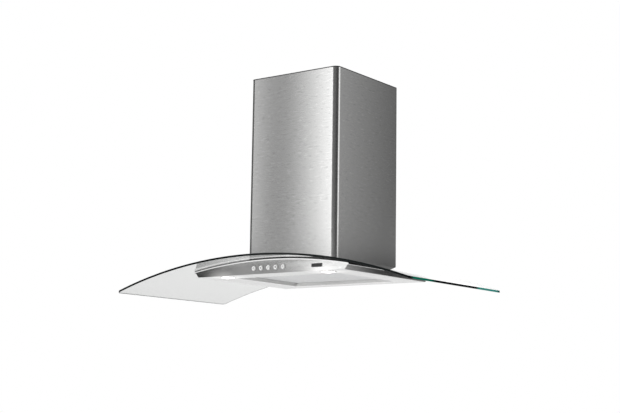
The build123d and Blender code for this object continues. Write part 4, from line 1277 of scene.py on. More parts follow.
@dataclass
class SteelBody(Assembly):
    """Pressed steel body under the glass: deck, side walls, fascia and underside.

    Attributes:
        rim_half: Half the width at the lower rim.
        top_half: Half the width under the deck.
        depth: Depth from the wall.
        sheet: Thickness of the sheet.
        deck_top: Radius of the deck's upper face.
        lip: How far the deck's lip stands proud.
        lip_height: Height of the lip.
        bead: How far the bead under the lip stands proud.
        trim: Foot and head of the bright front trim, its reach over the deck and its height.
        window: Half width, front and rear depth of the deck's window.
        window_corner: Radius of its corners.
        stud_holes: Places of the stud holes in the deck.
        stud_bore: Their radius.
        opening: Half width, front and rear depth of the filter recess.
        recess_height: Height of the recess walls.
        fold: Outer radius of the recess's folds.
        recess_corner: Radius of its corners.
        lamp_hole: Radius of the holes for the lamps.
        button_spots: Places of the buttons on the fascia.
        button_hole: Radius of their holes.
    """

    rim_half: float = 230 * MM
    top_half: float = 240 * MM
    depth: float = 370 * MM
    sheet: float = 1.2 * MM
    deck_top: float = 1382 * MM
    lip: float = 1 * MM
    lip_height: float = 3.2 * MM
    bead: float = 1.5 * MM
    trim: tuple[float, float, float, float] = (1.0 * MM, 1.7 * MM, 1.1 * MM, 2.7 * MM)
    window: tuple[float, float, float] = (95 * MM, 246 * MM, 13.2 * MM)
    window_corner: float = 3 * MM
    stud_holes: tuple[Flat, ...] = tuple(
        (side * 120.3 * MM, -depth * MM) for side in (-1, 1) for depth in (60, 220)
    )
    stud_bore: float = 3.1 * MM
    opening: tuple[float, float, float] = (160 * MM, 300 * MM, 38 * MM)
    recess_height: float = 18 * MM
    fold: float = 1.8 * MM
    recess_corner: float = 2 * MM
    lamp_hole: float = 20 * MM
    button_spots: tuple[Flat, ...] = tuple((x * MM, 15 * MM) for x in (-46, -23, 0, 23, 46))
    button_hole: float = 6.2 * MM

    def build(self) -> None:
        """Builds the body's sheets."""
        self.deck()
        self.sides()
        self.fascia()
        self.underside()
        self.bench.dress(Look.GALVANISED, "rear_panel")

    def deck(self) -> None:
        """Builds the arched deck with its folded lip."""
        out, front = self.top_half + self.lip, self.depth + self.lip
        half, window_front, window_rear = self.window
        loops = [
            rectangle((-out, -front), (out, -self.sheet)),
            rectangle((-half, -window_front), (half, -window_rear), self.window_corner),
            *(circle(spot, self.stud_bore, 20) for spot in self.stud_holes),
        ]
        place, columns = ARCH.place(self.deck_top - self.sheet), ARCH.columns(out - 4 * MM)
        stock = Stock()
        stock.plate(loops, self.sheet, place, edge=0.25 * MM, columns=columns)
        self.beads(stock)
        looks = (Look.BODY_STEEL, Look.BEAD)
        self.bench.fit(stock, "steel_deck", looks, "stainless", "body_deck")

    def beads(self, stock: Stock) -> None:
        """Adds the bright beads under the deck's lip and the slanted trim along its front.

        Args:
            stock: The deck's mesh.
        """
        out, nip = self.top_half + self.lip, 0.1 * MM
        tall, low = self.lip_height - self.sheet + nip, self.deck_top - self.lip_height
        bulge = (self.bead, 0.9 * tall)
        section = [*arc((0, bulge[1]), bulge, -90, 0, 6), (self.bead, tall), (0, tall)]
        foot, head, reach, height = self.trim
        crown, behind = self.lip_height + reach, self.lip + 0.05 * MM
        root = crown - height
        slanted = [(0, root), (foot, root), (foot + nip, root + nip), (head, crown - 0.25 * MM)]
        slanted += [(head - 0.15 * MM, crown), (behind + nip, crown), (behind, crown - nip)]
        slanted += [(behind, tall), (0, tall)]

        def front(along: float, proud: float, up: float) -> Vector:
            """Place on the front trim."""
            return Vector((along, -self.depth - proud, ARCH.height(low, along) + up))

        stock.bar(slanted, ARCH.columns(out), front, 1)
        for side in (-1, 1):
            edge = side_place(side, self.top_half, ARCH.height(low, out))
            stock.bar(section, (-self.depth, -self.sheet), edge, 1)

    def sides(self) -> None:
        """Builds the two slanted side walls."""
        top = ARCH.height(self.deck_top - self.sheet, self.top_half)
        slant = Vector((self.top_half - self.rim_half, 0, top))
        up = slant.normalized()
        inward, rim = Vector((-up.z, 0, up.x)), self.sheet * up.x
        outline = rectangle((self.sheet * 2 - self.depth, rim), (-self.sheet, slant.length - rim))
        for side, hand in ((-1, "left"), (1, "right")):

            def place(y: float, rise: float, lift: float, side: int = side) -> Vector:
                """Place on the slanted wall. Lift 0 is its inner face."""
                spot = Vector((self.rim_half, y, 0)) + up * rise + inward * (self.sheet - lift)
                return Vector((side * spot.x, spot.y, spot.z))

            stock = Stock()
            stock.plate([outline], self.sheet, place, edge=0.3 * MM)
            name, node = f"side_wall_{hand}", f"side_panel_{hand}"
            self.bench.fit(stock, name, (Look.BODY_STEEL,), "stainless", node)

    def fascia(self) -> None:
        """Builds the front wall with the holes for the buttons."""
        under, half = self.deck_top - self.sheet, self.top_half
        top = [(x, ARCH.height(under, x)) for x in spaced(half, -half, ARCH.pitch)]
        outline = [(-self.rim_half, 0.0), (self.rim_half, 0.0), *top]
        holes = [circle(spot, self.button_hole) for spot in self.button_spots]
        stock = Stock()
        place = front_place(self.depth - self.sheet)
        stock.plate([outline, *holes], self.sheet, place, edge=0.35 * MM)
        self.bench.fit(stock, "fascia_panel", (Look.BODY_STEEL,), "stainless", "front_fascia")

    def underside(self) -> None:
        """Builds the flat underside with the folded walls of the filter recess."""
        half, front, rear = self.opening
        edge, back = self.rim_half - 1.75 * MM, 1.4 * MM
        sheet, fold, tall = self.sheet, self.fold, self.recess_height
        wide, inner = fold + 0.2 * MM, fold - sheet
        recess = rectangle(
            (-half - wide, -front - wide), (half + wide, wide - rear), self.recess_corner + wide
        )
        holes = [circle(spot, self.lamp_hole, 48) for spot in LAMP_SPOTS]
        outline = rectangle((-edge, back - self.depth), (edge, -back))
        stock = Stock()
        stock.plate([outline, recess, *holes], sheet, level_place(0.0), edge=0.2 * MM)
        section = arc((fold, fold), (fold, fold), -90, -180, 5) + [(0, tall), (sheet, tall)]
        section += arc((fold, fold), (inner, inner), -180, -90, 5)
        section = [(out + 0.1 * MM, up) for out, up in section]
        path = rectangle((-half, -front), (half, -rear), self.recess_corner, 5)
        stock.sweep(path, section, level_place(0.0), 1)
        # The recess walls are painted lighter over their shade.
        looks = (Look.UNDER_STEEL, Look.RECESS_STEEL_PAINTED_LIGHTER)
        self.bench.fit(stock, "underside_sheet", looks, "stainless", "underside_panel", angle=35)


# --- fascia fittings


class Mark(Enum):
    """Plain marks in the button caps from left to right, each an outline and its holes."""

    DOT = (circle((0, 0), 1.2 * MM, 20),)
    BAR = (rectangle((-1.7 * MM, -0.55 * MM), (1.7 * MM, 0.55 * MM), 0.4 * MM, 4),)
    CROSS = (cross(0.55 * MM),)
    NONE = ()
    HOOP = (circle((0, 0), 1.7 * MM, 24), circle((0, 0), 0.9 * MM, 24))


@dataclass
class ButtonRow(Assembly):
    """Five push buttons whose bezels and cap ridges carry a painted highlight glow, and the switch board
    behind them.

    Attributes:
        spots: Places of the buttons on the fascia.
        face: Distance of the fascia's face from the wall.
        cap_front: Distance of the caps' faces from the wall.
        cap_radius: Radius of a cap.
        cap_length: Length of a cap.
        dish: Depth of the hollow in a cap.
        dish_radius: Its radius, inside the ridge with the painted glow.
        mark_height: Height of the mark in the hollow.
        shoulder: Radius of a cap's rounded shoulder.
        collar: Length of a cap's collar and how far it stands proud.
        stem: Radius and length of a cap's stem.
        bezel_bore: Radius of a bezel's bore.
        bezel_flange: Radius of its flange.
        bezel_foot: Radius at which the flange's dome with its painted glow ends in a dark foot.
        bezel_depth: How far the flange stands proud.
        sleeve: Wall and length of its sleeve.
    """

    spots: tuple[Flat, ...] = SteelBody.button_spots
    face: float = SteelBody.depth
    cap_front: float = 373.2 * MM
    cap_radius: float = 5.2 * MM
    cap_length: float = 9.2 * MM
    dish: float = 0.7 * MM
    dish_radius: float = 2.5 * MM
    mark_height: float = 0.4 * MM
    shoulder: float = 0.5 * MM
    collar: Flat = (1.5 * MM, 0.6 * MM)
    stem: Flat = (2 * MM, 7.5 * MM)
    bezel_bore: float = 5.3 * MM
    bezel_flange: float = 7 * MM
    bezel_foot: float = 6.2 * MM
    bezel_depth: float = 1 * MM
    sleeve: Flat = (0.8 * MM, 4 * MM)

    def build(self) -> None:
        """Builds the caps and bezels, and dresses the switch board."""
        ring, cap_profile = self.bezel(), self.cap()
        ring_slots = self.bands(ring, 0.0, self.bezel_foot, 0.3 * MM)
        cap_slots = self.bands(cap_profile, self.dish_radius, self.cap_radius, -self.shoulder)
        bezels = Stock()
        for number, ((x, z), mark) in enumerate(zip(self.spots, Mark, strict=True), 1):
            bezels.turned(ring, Vector((x, -self.face, z)), Axis.TO_ROOM, slots=ring_slots)
            cap = Stock()
            cap.turned(cap_profile, Vector((x, -self.cap_front, z)), Axis.TO_ROOM, slots=cap_slots)
            if mark.value:
                place = front_place(self.cap_front - self.dish, (x, z))
                cap.plate(mark.value, self.mark_height, place, edge=0.08 * MM, steps=1)
            name, node, looks = f"push_button_{number}", f"button_{number}", (Look.PEARL_PAINTED_GLOW, Look.CAP)
            self.bench.fit(cap, name, looks, "button_cap", node, body=Body(node), angle=32)
        looks = (Look.RING_PAINTED_GLOW, Look.CAP)
        self.bench.fit(bezels, "button_rings", looks, "polished_steel", "button_bezels", angle=32)
        self.bench.dress(Look.BLACK_PLASTIC, "switch_housing", "push_switches")
        self.bench.dress(Look.BOARD, "switch_board")

    @staticmethod
    def bands(profile: Sequence[Flat], inner: float, outer: float, low: float) -> list[int]:
        """Slots of a profile's bands.

        Args:
            profile: The profile, as (radius, lift).
            inner: Radius at which the face with the painted glow starts.
            outer: Radius at which it ends.
            low: Lift of its lowest point.

        Returns:
            For each band, 0 if it is part of the face with the painted glow and 1 if not.
        """
        bright = [inner - TINY < r < outer + TINY and lift > low - TINY for r, lift in profile]
        return [0 if here and after else 1 for here, after in pairs(bright)]

    def bezel(self) -> list[Flat]:
        """Profile of a bezel: its sleeve and its domed flange.

        Returns:
            The profile, from the tip of the sleeve.
        """
        bore, flange, proud = self.bezel_bore, self.bezel_flange, self.bezel_depth
        wall, length = self.sleeve
        return [
            (bore, -length),
            (bore + 0.05 * MM, proud * 0.5),
            *arc(((bore + flange) / 2, proud * 0.55), ((flange - bore) / 2, proud * 0.45), 180, 0, 8),
            (flange, SEAM),
            (bore + wall, SEAM),
            (bore + wall, -length),
        ]

    def cap(self) -> list[Flat]:
        """Profile of a cap: dished face, ridge with a painted glow, round shoulder, skirt, collar and
        stem.

        Returns:
            The profile, from the middle of the face.
        """
        radius, shoulder, chamfer = self.cap_radius, self.shoulder, 0.3 * MM
        (height, proud), (stem, stem_length) = self.collar, self.stem
        back, end = -self.cap_length, -self.cap_length - stem_length
        shares = [k / 5 for k in range(6)]
        return [
            *((self.dish_radius * share, self.dish * (0.5 * share**2 - 1)) for share in shares),
            *arc((radius - shoulder, -shoulder), (shoulder, shoulder), 90, 0, 5),
            (radius, back + height),
            (radius + proud, back + height),
            (radius + proud, back),
            (stem, back),
            (stem, end + chamfer),
            (stem - chamfer, end),
            (0, end),
        ]


@dataclass
class BarePlate(Assembly):
    """Plain plate on the fascia, with a bright frame.

    Attributes:
        centre: Its middle on the fascia.
        size: Its width and height.
        corners: Radii of the frame's outer and inner corners.
        face: Distance of the fascia's face from the wall.
        thickness: Its thickness.
        frame: Width of the bright frame.
    """

    centre: Flat = (148 * MM, 13.6 * MM)
    size: Flat = (33 * MM, 10.6 * MM)
    corners: Flat = (1 * MM, 0.5 * MM)
    face: float = SteelBody.depth
    thickness: float = 0.8 * MM
    frame: float = 0.9 * MM

    def build(self) -> None:
        """Builds the lacquered plate and the frame round it."""
        (width, height), (outer, inner), rim = self.size, self.corners, self.frame
        place, (x, z) = front_place(self.face, self.centre), (width / 2, height / 2)
        plate = rectangle((rim - x, rim - z), (x - rim, z - rim), inner, steps=4)
        lacquer, border = Stock(), Stock()
        lacquer.plate([plate], self.thickness * 0.7, place, edge=0.15 * MM)
        self.bench.fit(lacquer, "bare_plate", (Look.BADGE,), "badge_black", "badge_plate")
        outline = rectangle((-x, -z), (x, z), outer, steps=5)
        border.plate([outline, plate], self.thickness, place, edge=0.3 * MM)
        self.bench.fit(border, "bare_plate_frame", (Look.POLISHED,), "polished_steel")


# --- grease filter


@dataclass
class FilterCassette(Assembly):
    """Grease filter: channel rim, slotted sheets, wire mesh and finger pull.

    Attributes:
        half: Half its width.
        front: Depth of its front edge.
        rear: Depth of its rear edge.
        bottom: Height of its lower face.
        height: Its thickness.
        rim: Width of the rim.
        wall: Thickness of the rim's outer wall.
        fold: Radius of its outer edges.
        lip: Thickness of its lips.
        corner: Radius of its corners.
        slots: Columns and rows of slots.
        slot_pitch: Distance between slots, along and across.
        slot_size: Length and width of a slot.
        grille: Thickness of a slotted sheet.
        wire: Radius of the wires and distance between them.
        pull_width: Width of the finger pull.
    """

    half: float = 159 * MM
    front: float = 299 * MM
    rear: float = 41 * MM
    bottom: float = 8 * MM
    height: float = 9.5 * MM
    rim: float = 12 * MM
    wall: float = 1.2 * MM
    fold: float = 1.2 * MM
    lip: float = 1 * MM
    corner: float = 4 * MM
    slots: tuple[int, int] = (16, 20)
    slot_pitch: Flat = (17 * MM, 10 * MM)
    slot_size: Flat = (14 * MM, 5 * MM)
    grille: float = 0.8 * MM
    wire: Flat = (0.35 * MM, 6 * MM)
    pull_width: float = 54 * MM

    def build(self) -> None:
        """Builds the cassette's pieces."""
        self.rim_channel()
        self.sheets()
        self.wires()
        self.pull()
        self.bench.dress(Look.SHAFT, "filter_hinge_pins")
        self.bench.dress(Look.MAGNET, "filter_magnets")

    def within(self, inset: float) -> tuple[Flat, Flat]:
        """Front left and rear right corner of what lies inset from the cassette's edge."""
        return (inset - self.half, inset - self.front), (self.half - inset, -self.rear - inset)

    def rim_channel(self) -> None:
        """Builds the channel-section rim."""
        width, wall, lip, tall, fold = self.rim, self.wall, self.lip, self.height, self.fold
        section = [(-width, 0.0), *arc((-fold, fold), (fold, fold), -90, 0, 4)]
        section += [*arc((-fold, tall - fold), (fold, fold), 0, 90, 4), (-width, tall)]
        section += [(-width, tall - lip), (-wall, tall - lip), (-wall, lip), (-width, lip)]
        path = rectangle(*self.within(0.0), self.corner)
        stock = Stock()
        stock.sweep(path, section[::-1], level_place(self.bottom))
        name, looks, body = "filter_rim", (Look.UNDER_STEEL,), Body.FILTER
        self.bench.fit(stock, name, looks, "stainless", "filter_frame", body=body, angle=35)

    def sheets(self) -> None:
        """Builds the two slotted sheets."""
        middle = -(self.front + self.rear) / 2
        (columns, rows), (pitch_x, pitch_y) = self.slots, self.slot_pitch
        across = [(k - (columns - 1) / 2) * pitch_x for k in range(columns)]
        along = [middle + (k - (rows - 1) / 2) * pitch_y for k in range(rows)]
        holes = [long_hole((x, y), *self.slot_size, 5) for x in across for y in along]
        outline = rectangle(*self.within(self.wall + 0.2 * MM), self.corner - self.wall)
        low, high = self.bottom + self.lip, self.bottom + self.height - self.lip - self.grille
        for level, height in (("lower", low), ("upper", high)):
            stock = Stock()
            stock.plate([outline, *holes], self.grille, level_place(height), edge=0.2 * MM, steps=1)
            name, node, looks = f"slotted_sheet_{level}", f"filter_grille_{level}", (Look.FILTER,)
            self.bench.fit(stock, name, looks, "filter_aluminium", node, body=Body.FILTER)

    def wires(self) -> None:
        """Builds the woven wire mesh between the sheets."""
        radius, pitch = self.wire
        low, high = self.within(self.wall + 1 * MM)
        level = self.bottom + self.height / 2
        section = [(-radius, 0.0), (0.0, radius), (radius, 0.0), (0.0, -radius)]
        swapped = Matrix(((0, 1, 0), (1, 0, 0), (0, 0, 1)))
        stock = Stock()
        for way, plan in enumerate((Matrix.Identity(3), swapped)):
            (left, right), (start, end) = (low[way], high[way]), (low[1 - way], high[1 - way])
            gap, wave = (span / int(span / pitch) for span in (right - left, end - start))
            stations = spaced(start, end, wave / 2)
            for number, at in enumerate(spaced(left, right, gap)):

                def place(along: float, side: float, rise: float) -> Vector:
                    """Place on the wire, which goes over one crossing and under the next."""
                    up = radius * math.cos(math.pi * ((along - start) / wave + number + way)) + rise
                    return plan @ Vector((at + side, along, level + up))

                stock.bar(section, stations, place)
        slot, looks, body = "filter_aluminium", (Look.FILTER,), Body.FILTER
        self.bench.fit(stock, "wire_mesh", looks, slot, "filter_mesh", body=body, angle=60)

    def pull(self) -> None:
        """Builds the bent finger pull under the front of the rim."""
        root, low = self.rim - self.wall - self.front, self.bottom
        shape = [
            (root - 6 * MM, low),
            (root - 6 * MM, low - 1 * MM),
            (root - 0.8 * MM, low - 1 * MM),
            (root + 5.6 * MM, low - 6.2 * MM),
            (root + 6 * MM, low - 5.2 * MM),
            (root, low),
        ]
        section = rounded(shape, [0.2 * MM, 0.4 * MM, 2 * MM, 0.4 * MM, 0.4 * MM, 1.2 * MM], 4)
        stock, half = Stock(), self.pull_width / 2
        stock.bar(section, (-half, half), lambda along, y, z: Vector((along, y, z)))
        name, looks, body = "finger_pull", (Look.POLISHED,), Body.FILTER
        self.bench.fit(stock, name, looks, "stainless", "filter_pull", body=body, angle=30)


# --- lamps


@dataclass
class Lamps(Assembly):
    """Two flush lamps in the underside.

    Attributes:
        bezel: Radius of the bezel and of its bore.
        proud: How far the bezel stands below the underside.
        sleeve: Outer and inner radius of its sleeve.
        sleeve_height: Height of the sleeve.
        lens_radius: Radius of the lens.
        lens_thickness: Its thickness.
        belly: How far its middle stands below its edge.
    """

    bezel: Flat = (23 * MM, 17 * MM)
    proud: float = 1.2 * MM
    sleeve: Flat = (19.8 * MM, 19 * MM)
    sleeve_height: float = 5 * MM
    lens_radius: float = 18.85 * MM
    lens_thickness: float = 2.6 * MM
    belly: float = 2.5 * MM

    def build(self) -> None:
        """Builds the bezels and lenses, and dresses what is behind them."""
        fit = self.bench.fit
        for (x, y), hand in zip(LAMP_SPOTS, ("left", "right"), strict=True):
            ring, lens = Stock(), Stock()
            ring.turned(self.ring(), Vector((x, y, 0)), Axis.DOWN, 64)
            lens.turned(self.lens(), Vector((x, y, 0)), Axis.DOWN, 64)
            name, node = f"lamp_ring_{hand}", f"lamp_bezel_{hand}"
            fit(ring, name, (Look.POLISHED,), "polished_steel", node, angle=32)
            fit(lens, f"lamp_glass_{hand}", (Look.LENS,), "lamp_frost", f"lamp_lens_{hand}", angle=32)
            self.bench.dress(Look.LAMP_CAN, f"lamp_can_{hand}")
            self.bench.dress(Look.LED_BOARD, f"lamp_board_{hand}")

    def ring(self) -> list[Flat]:
        """Profile of a bezel.

        Returns:
            The profile, from the tip of its sleeve.
        """
        (outer, bore), (sleeve, inner), tip = self.bezel, self.sleeve, -self.sleeve_height
        middle, half = (outer + bore) / 2, (outer - bore) / 2
        return [
            (inner, tip),
            (inner, 0),
            (bore, SEAM),
            *arc((middle, 0.35 * self.proud), (half, 0.65 * self.proud), 180, 0, 10),
            (outer, SEAM),
            (sleeve, 0),
            (sleeve, tip),
        ]

    def lens(self) -> list[Flat]:
        """Profile of a lens, bellied in the bezel's bore.

        Returns:
            The profile, from the middle of its face.
        """
        bore = self.bezel[1] - 0.2 * MM
        belly = [(bore * k / 8, self.belly * (1 - (k / 8) ** 2)) for k in range(9)]
        radius, back = self.lens_radius, -self.lens_thickness
        return [*belly, (radius, -SEAM), (radius, back), (0, back)]


# --- flue covers


@dataclass(eq=False)
class FluePath:
    """Folded path of a flue cover in plan, from one rear return round the front to the other.

    Attributes:
        half: Half the outer width.
        front: Depth of the outer front face.
        rear: Depth of the rear face.
        corner: Outer radius of the front folds.
        tip: Distance of a return's end from the middle.
        fold: Outer radius of the rear folds.
        sheet: Thickness of the sheet.
        guard: Distance of the guard lines from the folds.
        runs: The straight and folded runs: start, point, heading and radius.
        length: Length of the whole path.
    """

    half: float
    front: float
    rear: float
    corner: float
    tip: float
    fold: float = 1.6 * MM
    sheet: float = 1 * MM
    guard: float = 1.5 * MM
    runs: list[tuple[float, Vector, Vector, float]] = field(default_factory=list)
    length: float = 0.0

    def __post_init__(self) -> None:
        """Lays out the runs."""
        here, heading = Vector((-self.tip, -self.rear)), Vector((-1.0, 0.0))
        tab = self.half - self.tip - self.fold
        side = self.front - self.rear - self.fold - self.corner
        face = 2 * (self.half - self.corner)
        turns = (self.fold, self.corner, self.corner, self.fold, 0.0)
        for leg, radius in zip((tab, side, face, side, tab), turns, strict=True):
            self.runs.append((self.length, here.copy(), heading.copy(), 0.0))
            self.length += leg
            here = here + heading * leg
            if radius:
                self.runs.append((self.length, here.copy(), heading.copy(), radius))
                self.length += radius * math.pi / 2
                left = Vector((-heading.y, heading.x))
                here = here + (heading + left) * radius
                heading = left

    def at(self, along: float) -> tuple[Vector, Vector]:
        """Point of the outer face and direction out of it.

        Args:
            along: Distance from the first return's end.

        Returns:
            The point and the outward direction, both in plan.
        """
        start, here, heading, radius = next(
            (run for run in reversed(self.runs) if along >= run[0] - TINY), self.runs[0]
        )
        left = Vector((-heading.y, heading.x))
        if not radius:
            return here + heading * (along - start), -left
        angle = (along - start) / radius
        out = -left * math.cos(angle) + heading * math.sin(angle)
        return here + left * radius + out * radius, out

    def place(self, along: float, height: float, lift: float) -> Vector:
        """Place on the folded sheet. Lift 0 is its inner face."""
        point, out = self.at(along)
        return Vector((*(point - out * (self.sheet - lift)), height))

    def columns(self) -> list[float]:
        """Lines that the sheet is folded along, with a guard line beside each fold.

        Returns:
            Their distances along the path.
        """
        found: list[float] = []
        for start, _, _, radius in self.runs:
            if radius:
                end = start + radius * math.pi / 2
                chords = 12 if radius > 5 * MM else 5
                lines = spaced(start, end, (end - start) / chords)
                found += [start - self.guard, *lines, end + self.guard]
        return found

    def side_start(self, number: int) -> float:
        """Distance along the path at which a side's straight run starts."""
        return [start for start, _, _, radius in self.runs if not radius][number]


@dataclass
class FlueCovers(Assembly):
    """The two telescopic flue covers and the brackets that hold them.

    Attributes:
        lower: Path of the lower cover.
        upper: Path of the upper cover.
        edge: Radius that the edges of both are rounded by.
        lower_top: Height of the lower cover's upper edge.
        lower_pitch: Distance between the lines that its front is cut to the arch at.
        glass_gap: Clearance over the glass.
        upper_bottom: Height of the upper cover's lower edge.
        upper_top: Height of its upper edge.
        vents: Rows, pitch, length and width of the vent slots.
        vent_drop: Distance from the upper edge to the middle of the vents.
        vent_depth: Distance of their middles from the wall.
        screw: Distance of the screws from the middle, their height and hole radius.
        strip_height: Height of the slide strip that guards the lower cover's upper edge.
        strip_wrap: Its thickness on each side of the sheet.
        strip_cover: Its thickness over the sheet's edge.
    """

    lower: FluePath = FluePath(140 * MM, 282 * MM, 0.0, 14 * MM, 124 * MM)
    upper: FluePath = FluePath(138 * MM, 280 * MM, 2 * MM, 12 * MM, 122 * MM)
    edge: float = 0.3 * MM
    lower_top: float = 532 * MM
    lower_pitch: float = 14 * MM
    glass_gap: float = 0.2 * MM
    upper_bottom: float = 71.8 * MM
    upper_top: float = 531 * MM
    vents: tuple[int, float, float, float] = (6, 11 * MM, 150 * MM, 4 * MM)
    vent_drop: float = 60 * MM
    vent_depth: float = 141 * MM
    screw: tuple[float, float, float] = (129.5 * MM, 511 * MM, 2 * MM)
    strip_height: float = 2.4 * MM
    strip_wrap: float = 0.3 * MM
    strip_cover: float = 0.4 * MM

    def build(self) -> None:
        """Builds both covers and dresses their brackets."""
        self.lower_cover()
        self.upper_cover()
        brackets = ("upper_flue_bracket", "flue_bracket_left", "flue_bracket_right")
        self.bench.dress(Look.GALVANISED, *brackets)
        self.bench.dress(Look.ZINC, "upper_flue_screws")

    def lower_cover(self) -> None:
        """Builds the lower cover, cut to the arch of the glass, and the strip on its upper edge."""
        path = self.lower
        inset = path.side_start(2) + 3 * MM
        columns = sorted(path.columns() + spaced(inset, path.length - inset, self.lower_pitch))
        radius, top = ARCH.radius + self.glass_gap, self.lower_top - self.strip_cover
        ends = (0.0, *columns, path.length)
        outline = [(u, ARCH.height(radius, path.at(u)[0].x)) for u in ends]
        outline += [(path.length, top), (0.0, top)]
        stock, strip = Stock(), Stock()
        stock.plate([outline], path.sheet, path.place, self.edge, columns)
        name, looks = "lower_chimney", (Look.STEEL,)
        self.bench.fit(stock, name, looks, "stainless", "lower_flue_cover", angle=30)
        tall, wrap = self.strip_height, self.strip_wrap
        section = rectangle((-wrap, 0.0), (path.sheet + wrap, tall), 0.3 * MM, 3)
        start = path.side_start(1) + 1 * MM
        end, foot = path.length - start, self.lower_top - tall
        stations = [start, *(u for u in columns if start < u < end), end]
        strip.bar(section, stations, lambda along, lift, up: path.place(along, foot + up, lift))
        self.bench.fit(strip, "slide_strip", (Look.BLACK_PLASTIC,), "black_plastic", angle=30)

    def upper_cover(self) -> None:
        """Builds the upper cover with its vent slots."""
        path = self.upper
        rows, pitch, length, width = self.vents
        offset, height, hole = self.screw
        inset = offset - path.tip
        holes = [circle((at, height), hole, 16) for at in (inset, path.length - inset)]
        left = path.side_start(1) + self.vent_depth - path.rear - path.fold
        right = path.side_start(3) + path.front - path.corner - self.vent_depth
        middle = self.upper_top - self.vent_drop
        levels = [middle + (row - (rows - 1) / 2) * pitch for row in range(rows)]
        holes += [long_hole((at, level), length, width) for at in (left, right) for level in levels]
        outline = rectangle((0.0, self.upper_bottom), (path.length, self.upper_top))
        stock = Stock()
        stock.plate([outline, *holes], path.sheet, path.place, self.edge, path.columns())
        name, node, looks = "upper_chimney", "upper_flue_cover", (Look.STEEL,)
        self.bench.fit(stock, name, looks, "stainless", node, body=Body.UPPER_FLUE, angle=30)


# --- inner works


@dataclass
class InnerWorks(Assembly):
    """What the chimney hides: wall bracket, blower, outlet and control box.

    Attributes:
        cover_screws: Places of the screws on the control box's cover.
        cover_top: Height of the cover's upper face.
        screw_head: Radius and height of a screw's head.
    """

    cover_screws: tuple[Flat, ...] = tuple((x * MM, y * MM) for x in (-44, 44) for y in (-14, -64))
    cover_top: float = 299.5 * MM
    screw_head: Flat = (3.2 * MM, 2.0 * MM)

    def build(self) -> None:
        """Dresses the inner nodes and adds the cover's screws."""
        dress = self.bench.dress
        dress(Look.GALVANISED, "wall_bracket", "blower_box")
        dress(Look.GREY_PLASTIC, "volute", "inlet_ring", "damper_flap_front", "damper_flap_rear")
        dress(Look.BLACK_PLASTIC, "impeller", "outlet_collar", "cable_gland")
        dress(Look.MOTOR, "motor_case")
        dress(Look.BRONZE, "motor_bearings")
        dress(Look.LAMINATED, "motor_stator", "motor_rotor")
        dress(Look.SHAFT, "motor_shaft", "damper_pin")
        dress(Look.WHITE_PLASTIC, "control_box", "control_box_cover", "run_capacitor")
        shape = ((0, 0.55), (0.35, 0.55), (0.4, 1), (0.75, 0.9), (1, 0.4), (1, 0), (0, 0))
        radius, height = self.screw_head
        profile = [(radius * across, height * up) for across, up in shape]
        stock = Stock()
        for x, y in self.cover_screws:
            stock.turned(profile, Vector((x, y, self.cover_top)), Axis.UP, 24)
        self.bench.fit(stock, "cover_screws", (Look.ZINC,), "zinc_fastener")


# --- studio


REAR_GLOW = {-180: 1.0, -88: 0.95, 104: 0.05, 112: 0.02, 150: 0.02, 160: 0.95}
SILL_GLOW = REAR_GLOW | {-60: 0.0, -46: 0.0, -43: 0.05, -40: 0.5, -36: 0.8, 0: 0.9, 40: 0.4}
FASCIA_GLOW = REAR_GLOW | {-88: 1.0, -80: 0.2, -60: 0.0, -43: 0.0, -41: 0.12, -39: 0.4}
FASCIA_GLOW |= {-36: 0.50, -33: 0.42, -29: 0.33, -26: 0.40, -22.5: 0.58, -20.2: 0.95, -17.9: 1.5}
FASCIA_GLOW |= {-15: 1.85, -6: 1.85, 6: 0.6, 40: 0.3}
FASCIA_GLOW |= {-180: 1.15, -158: 1.15, -150: 1.0, 170: 1.15}
CHIMNEY_GLOW = {-106: 0.9, -98: 0.15, -55: 0.12, -50: 0.3, -46.5: 1.05, -42.5: 0.9, -40.5: 0.6}
CHIMNEY_GLOW |= {-39: 0.38, -34.5: 0.34, -30: 0.88, -27: 1.2, -24.5: 1.66, -22.5: 2.15, -19: 2.35}
CHIMNEY_GLOW |= {-17.5: 1.3, -15.5: 0.3, 0: 0.2, 40: 0.16, 56: 0.08, 84: 0.08, 96: 0.5}
CHIMNEY_GLOW |= {102: 1.5, 118: 1.5, 127: 0.46, 132: 0.44, 147: 0.18}
WING_GLOW = CHIMNEY_GLOW | {-158: 1.15, -150: 1.0, -112: 1.0, 162: 1.1, 170: 1.15}
ROOM_GLOW = CHIMNEY_GLOW | {-180: 0.1, -125: 0.3, -118: 0.9, 155: 0.1}
TENT_GLOW = {
    -0.58: {-180: 1.0, -88: 0.95, -60: 1.0, 0: 1.1, 60: 0.9, 104: 0.8, 150: 0.8, 160: 0.95},
    -0.40: REAR_GLOW | {-60: 0.6, -46: 0.5, -38: 0.9, 0: 0.9, 40: 0.6},
    -0.17: REAR_GLOW | {-60: 0.85, -46: 0.95, -38: 1.0, 0: 1.0, 40: 0.5},
    -0.15: SILL_GLOW,
    -0.04: SILL_GLOW,
    0.03: FASCIA_GLOW,
    0.095: FASCIA_GLOW,
    0.118: WING_GLOW,
    0.15: {bearing: 1.25 * glow for bearing, glow in WING_GLOW.items()},
    0.21: WING_GLOW,
    0.32: ROOM_GLOW,
    1.60: ROOM_GLOW,
}


